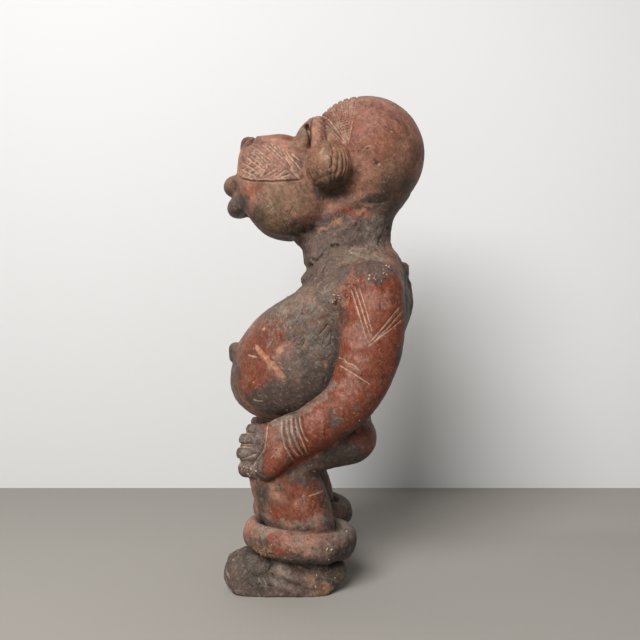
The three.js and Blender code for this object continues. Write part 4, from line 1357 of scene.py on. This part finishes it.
class CLAYFIGURE_OT_figure(bpy.types.Operator):
    """Models the whole figure as one piece of fired clay"""

    bl_idname = "clayfigure.figure"
    bl_label = "Model the figure"

    def execute(self, context):
        sizes = context.scene.clay_figure_sizes
        clay = model_figure(sizes.grid_step / MM, sizes.leg_spread / MM)
        points, faces = clay.skin()
        points = relax(points, faces, turns=2)
        normals = normals_of(points, faces)
        marks = all_marks()
        push, fine = relief(points, normals, marks)
        points = points - normals * push[:, None]
        points[:, 2] = np.maximum(points[:, 2], 0)
        piece = finished("clay_figure", mesh_from("clay_figure", points, faces))
        thin(piece, sizes.triangles, fine)
        mesh = piece.data
        points = vectors_from(mesh.vertices, "co") / MM
        normals = vectors_from(mesh.vertex_normals, "vector")
        amounts = coats(points, marks)
        # The creases are darkened as painted shade, besides the dirt in the marks, and what stands proud is
        # worn barer.
        crease, proud = hollows(points, normals, clay)
        amounts["crevice"] = np.maximum(0.75 * amounts["crevice"], 0.6 * crease)
        amounts["bare_clay"] += 0.15 * proud
        for name, amount in amounts.items():
            hold(mesh, name, amount)
        mesh.materials.append(fired_clay(context.scene.clay_figure_colours))
        mesh.polygons.foreach_set("use_smooth", np.ones(len(mesh.polygons), bool))
        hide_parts("figure")
        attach(piece, BODY)
        return {"FINISHED"}


class CLAYFIGURE_OT_crumbs(bpy.types.Operator):
    """Strews crumbs of earth and grit where they cling to the figure"""

    bl_idname = "clayfigure.crumbs"
    bl_label = "Strew the crumbs"

    def execute(self, context):
        ground = bpy.data.objects["clay_figure"].data.copy()
        hold(ground, "crumbs", crumb_cover(vectors_from(ground.vertices, "co") / MM))
        piece = finished("earth_crumbs", ground)
        tree, sockets = crumb_tree(dry_earth(context.scene.clay_figure_colours))
        modifier = piece.modifiers.new("strew", "NODES")
        modifier.node_group = tree
        modifier[sockets["Crumbs per square metre"]] = context.scene.clay_figure_sizes.crumbs
        settle(piece)
        bpy.data.meshes.remove(ground)
        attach(piece, BODY)
        return {"FINISHED"}


# The stage. The wall's place and the reach of wall and floor are in millimetres, as are the lens and the
# sensor; the camera, the lamps and what they are aimed at are in metres. A lamp has its name, place, size
# and power, and the wash lights the wall alone.
WALL_X = -396
REACH = 4000
LENS, SENSOR = 39.375, 36
EYE = (0.8325, -0.0045, 0.2948)
LAMP_TARGET = (0, 0, 0.3)
LAMPS = (
    ("key", (1.45, -0.6, 1.35), 1.0, 60),
    ("fill", (1.3, 1.2, 0.7), 1.4, 1),
    ("wash", (-0.12, 0.62, 0.5), 0.9, 0.6),
)


class CLAYFIGURE_OT_stage(bpy.types.Operator):
    """Sets the floor, the backdrop, the lights and the camera"""

    bl_idname = "clayfigure.stage"
    bl_label = "Set the stage"

    def execute(self, context):
        world = bpy.data.worlds.new("studio")
        world.use_nodes = True
        background = world.node_tree.nodes["Background"]
        background.inputs["Color"].default_value = linear("#eeeeec", 1)
        background.inputs["Strength"].default_value = 0.1
        context.scene.world = world
        context.scene.view_settings.view_transform = "Standard"
        outlines = {
            "floor": [(WALL_X, -REACH, 0), (REACH, -REACH, 0), (REACH, REACH, 0), (WALL_X, REACH, 0)],
            "wall": [(WALL_X, y, z) for y, z in ((-REACH, 0), (REACH, 0), (REACH, REACH), (-REACH, REACH))],
        }
        colours = context.scene.clay_figure_colours
        for name, outline in outlines.items():
            mesh = mesh_from(name, np.array(outline, float), np.array([(0, 1, 2, 3)]))
            material, tree, shader = blank_finish(name + "_paint")
            shader.inputs["Base Color"].default_value = (*getattr(colours, name), 1)
            shader.inputs["Roughness"].default_value = 0.8
            # From behind, the wall and the floor don't hide the figure.
            behind = add(tree, "ShaderNodeNewGeometry").outputs["Backfacing"]
            clear = add(tree, "ShaderNodeBsdfTransparent").outputs[0]
            either = {0: behind, 1: shader.outputs[0], 2: clear}
            either = add(tree, "ShaderNodeMixShader", either).outputs[0]
            tree.links.new(either, tree.nodes["Material Output"].inputs["Surface"])
            mesh.materials.append(material)
            finished(name, mesh)
        for name, place, size, power in LAMPS:
            light = bpy.data.lights.new(name, "AREA")
            light.size = size
            light.energy = power
            lamp = bpy.data.objects.new(name, light)
            lamp.location = place
            wash = name == "wash"
            lamp.visible_camera = not wash
            aim = Vector((-1, 0, 0)) if wash else Vector(LAMP_TARGET) - Vector(place)
            lamp.rotation_euler = aim.to_track_quat("-Z", "Y").to_euler()
            context.scene.collection.objects.link(lamp)
        camera = bpy.data.cameras.new("camera")
        camera.lens = LENS
        camera.sensor_width = SENSOR
        eye = bpy.data.objects.new("camera", camera)
        eye.location = EYE
        eye.rotation_euler = (math.pi / 2, 0, math.pi / 2)
        context.scene.collection.objects.link(eye)
        context.scene.camera = eye
        return {"FINISHED"}


class CLAYFIGURE_PT_panel(bpy.types.Panel):
    """The figure's sizes and colours, and the steps that make it"""

    bl_idname = "CLAYFIGURE_PT_panel"
    bl_label = "Clay Figure"
    bl_space_type = "VIEW_3D"
    bl_region_type = "UI"
    bl_category = "Clay Figure"

    def draw(self, context):
        scene = context.scene
        for group in (scene.clay_figure_sizes, scene.clay_figure_colours):
            column = self.layout.column()
            for name in group.__annotations__:
                column.prop(group, name)
        for step in STEPS:
            self.layout.operator(step.bl_idname)


STEPS = (CLAYFIGURE_OT_stage, CLAYFIGURE_OT_figure, CLAYFIGURE_OT_crumbs)
CLASSES = (FigureSizes, FigureColours, *STEPS, CLAYFIGURE_PT_panel)


def register():
    for cls in CLASSES:
        bpy.utils.register_class(cls)
    bpy.types.Scene.clay_figure_sizes = bpy.props.PointerProperty(type=FigureSizes)
    bpy.types.Scene.clay_figure_colours = bpy.props.PointerProperty(type=FigureColours)


def unregister():
    del bpy.types.Scene.clay_figure_sizes
    del bpy.types.Scene.clay_figure_colours
    for cls in reversed(CLASSES):
        bpy.utils.unregister_class(cls)


def main():
    register()
    bpy.ops.clayfigure.stage()
    bpy.ops.clayfigure.figure()
    bpy.ops.clayfigure.crumbs()


if __name__ == "__main__":
    main()
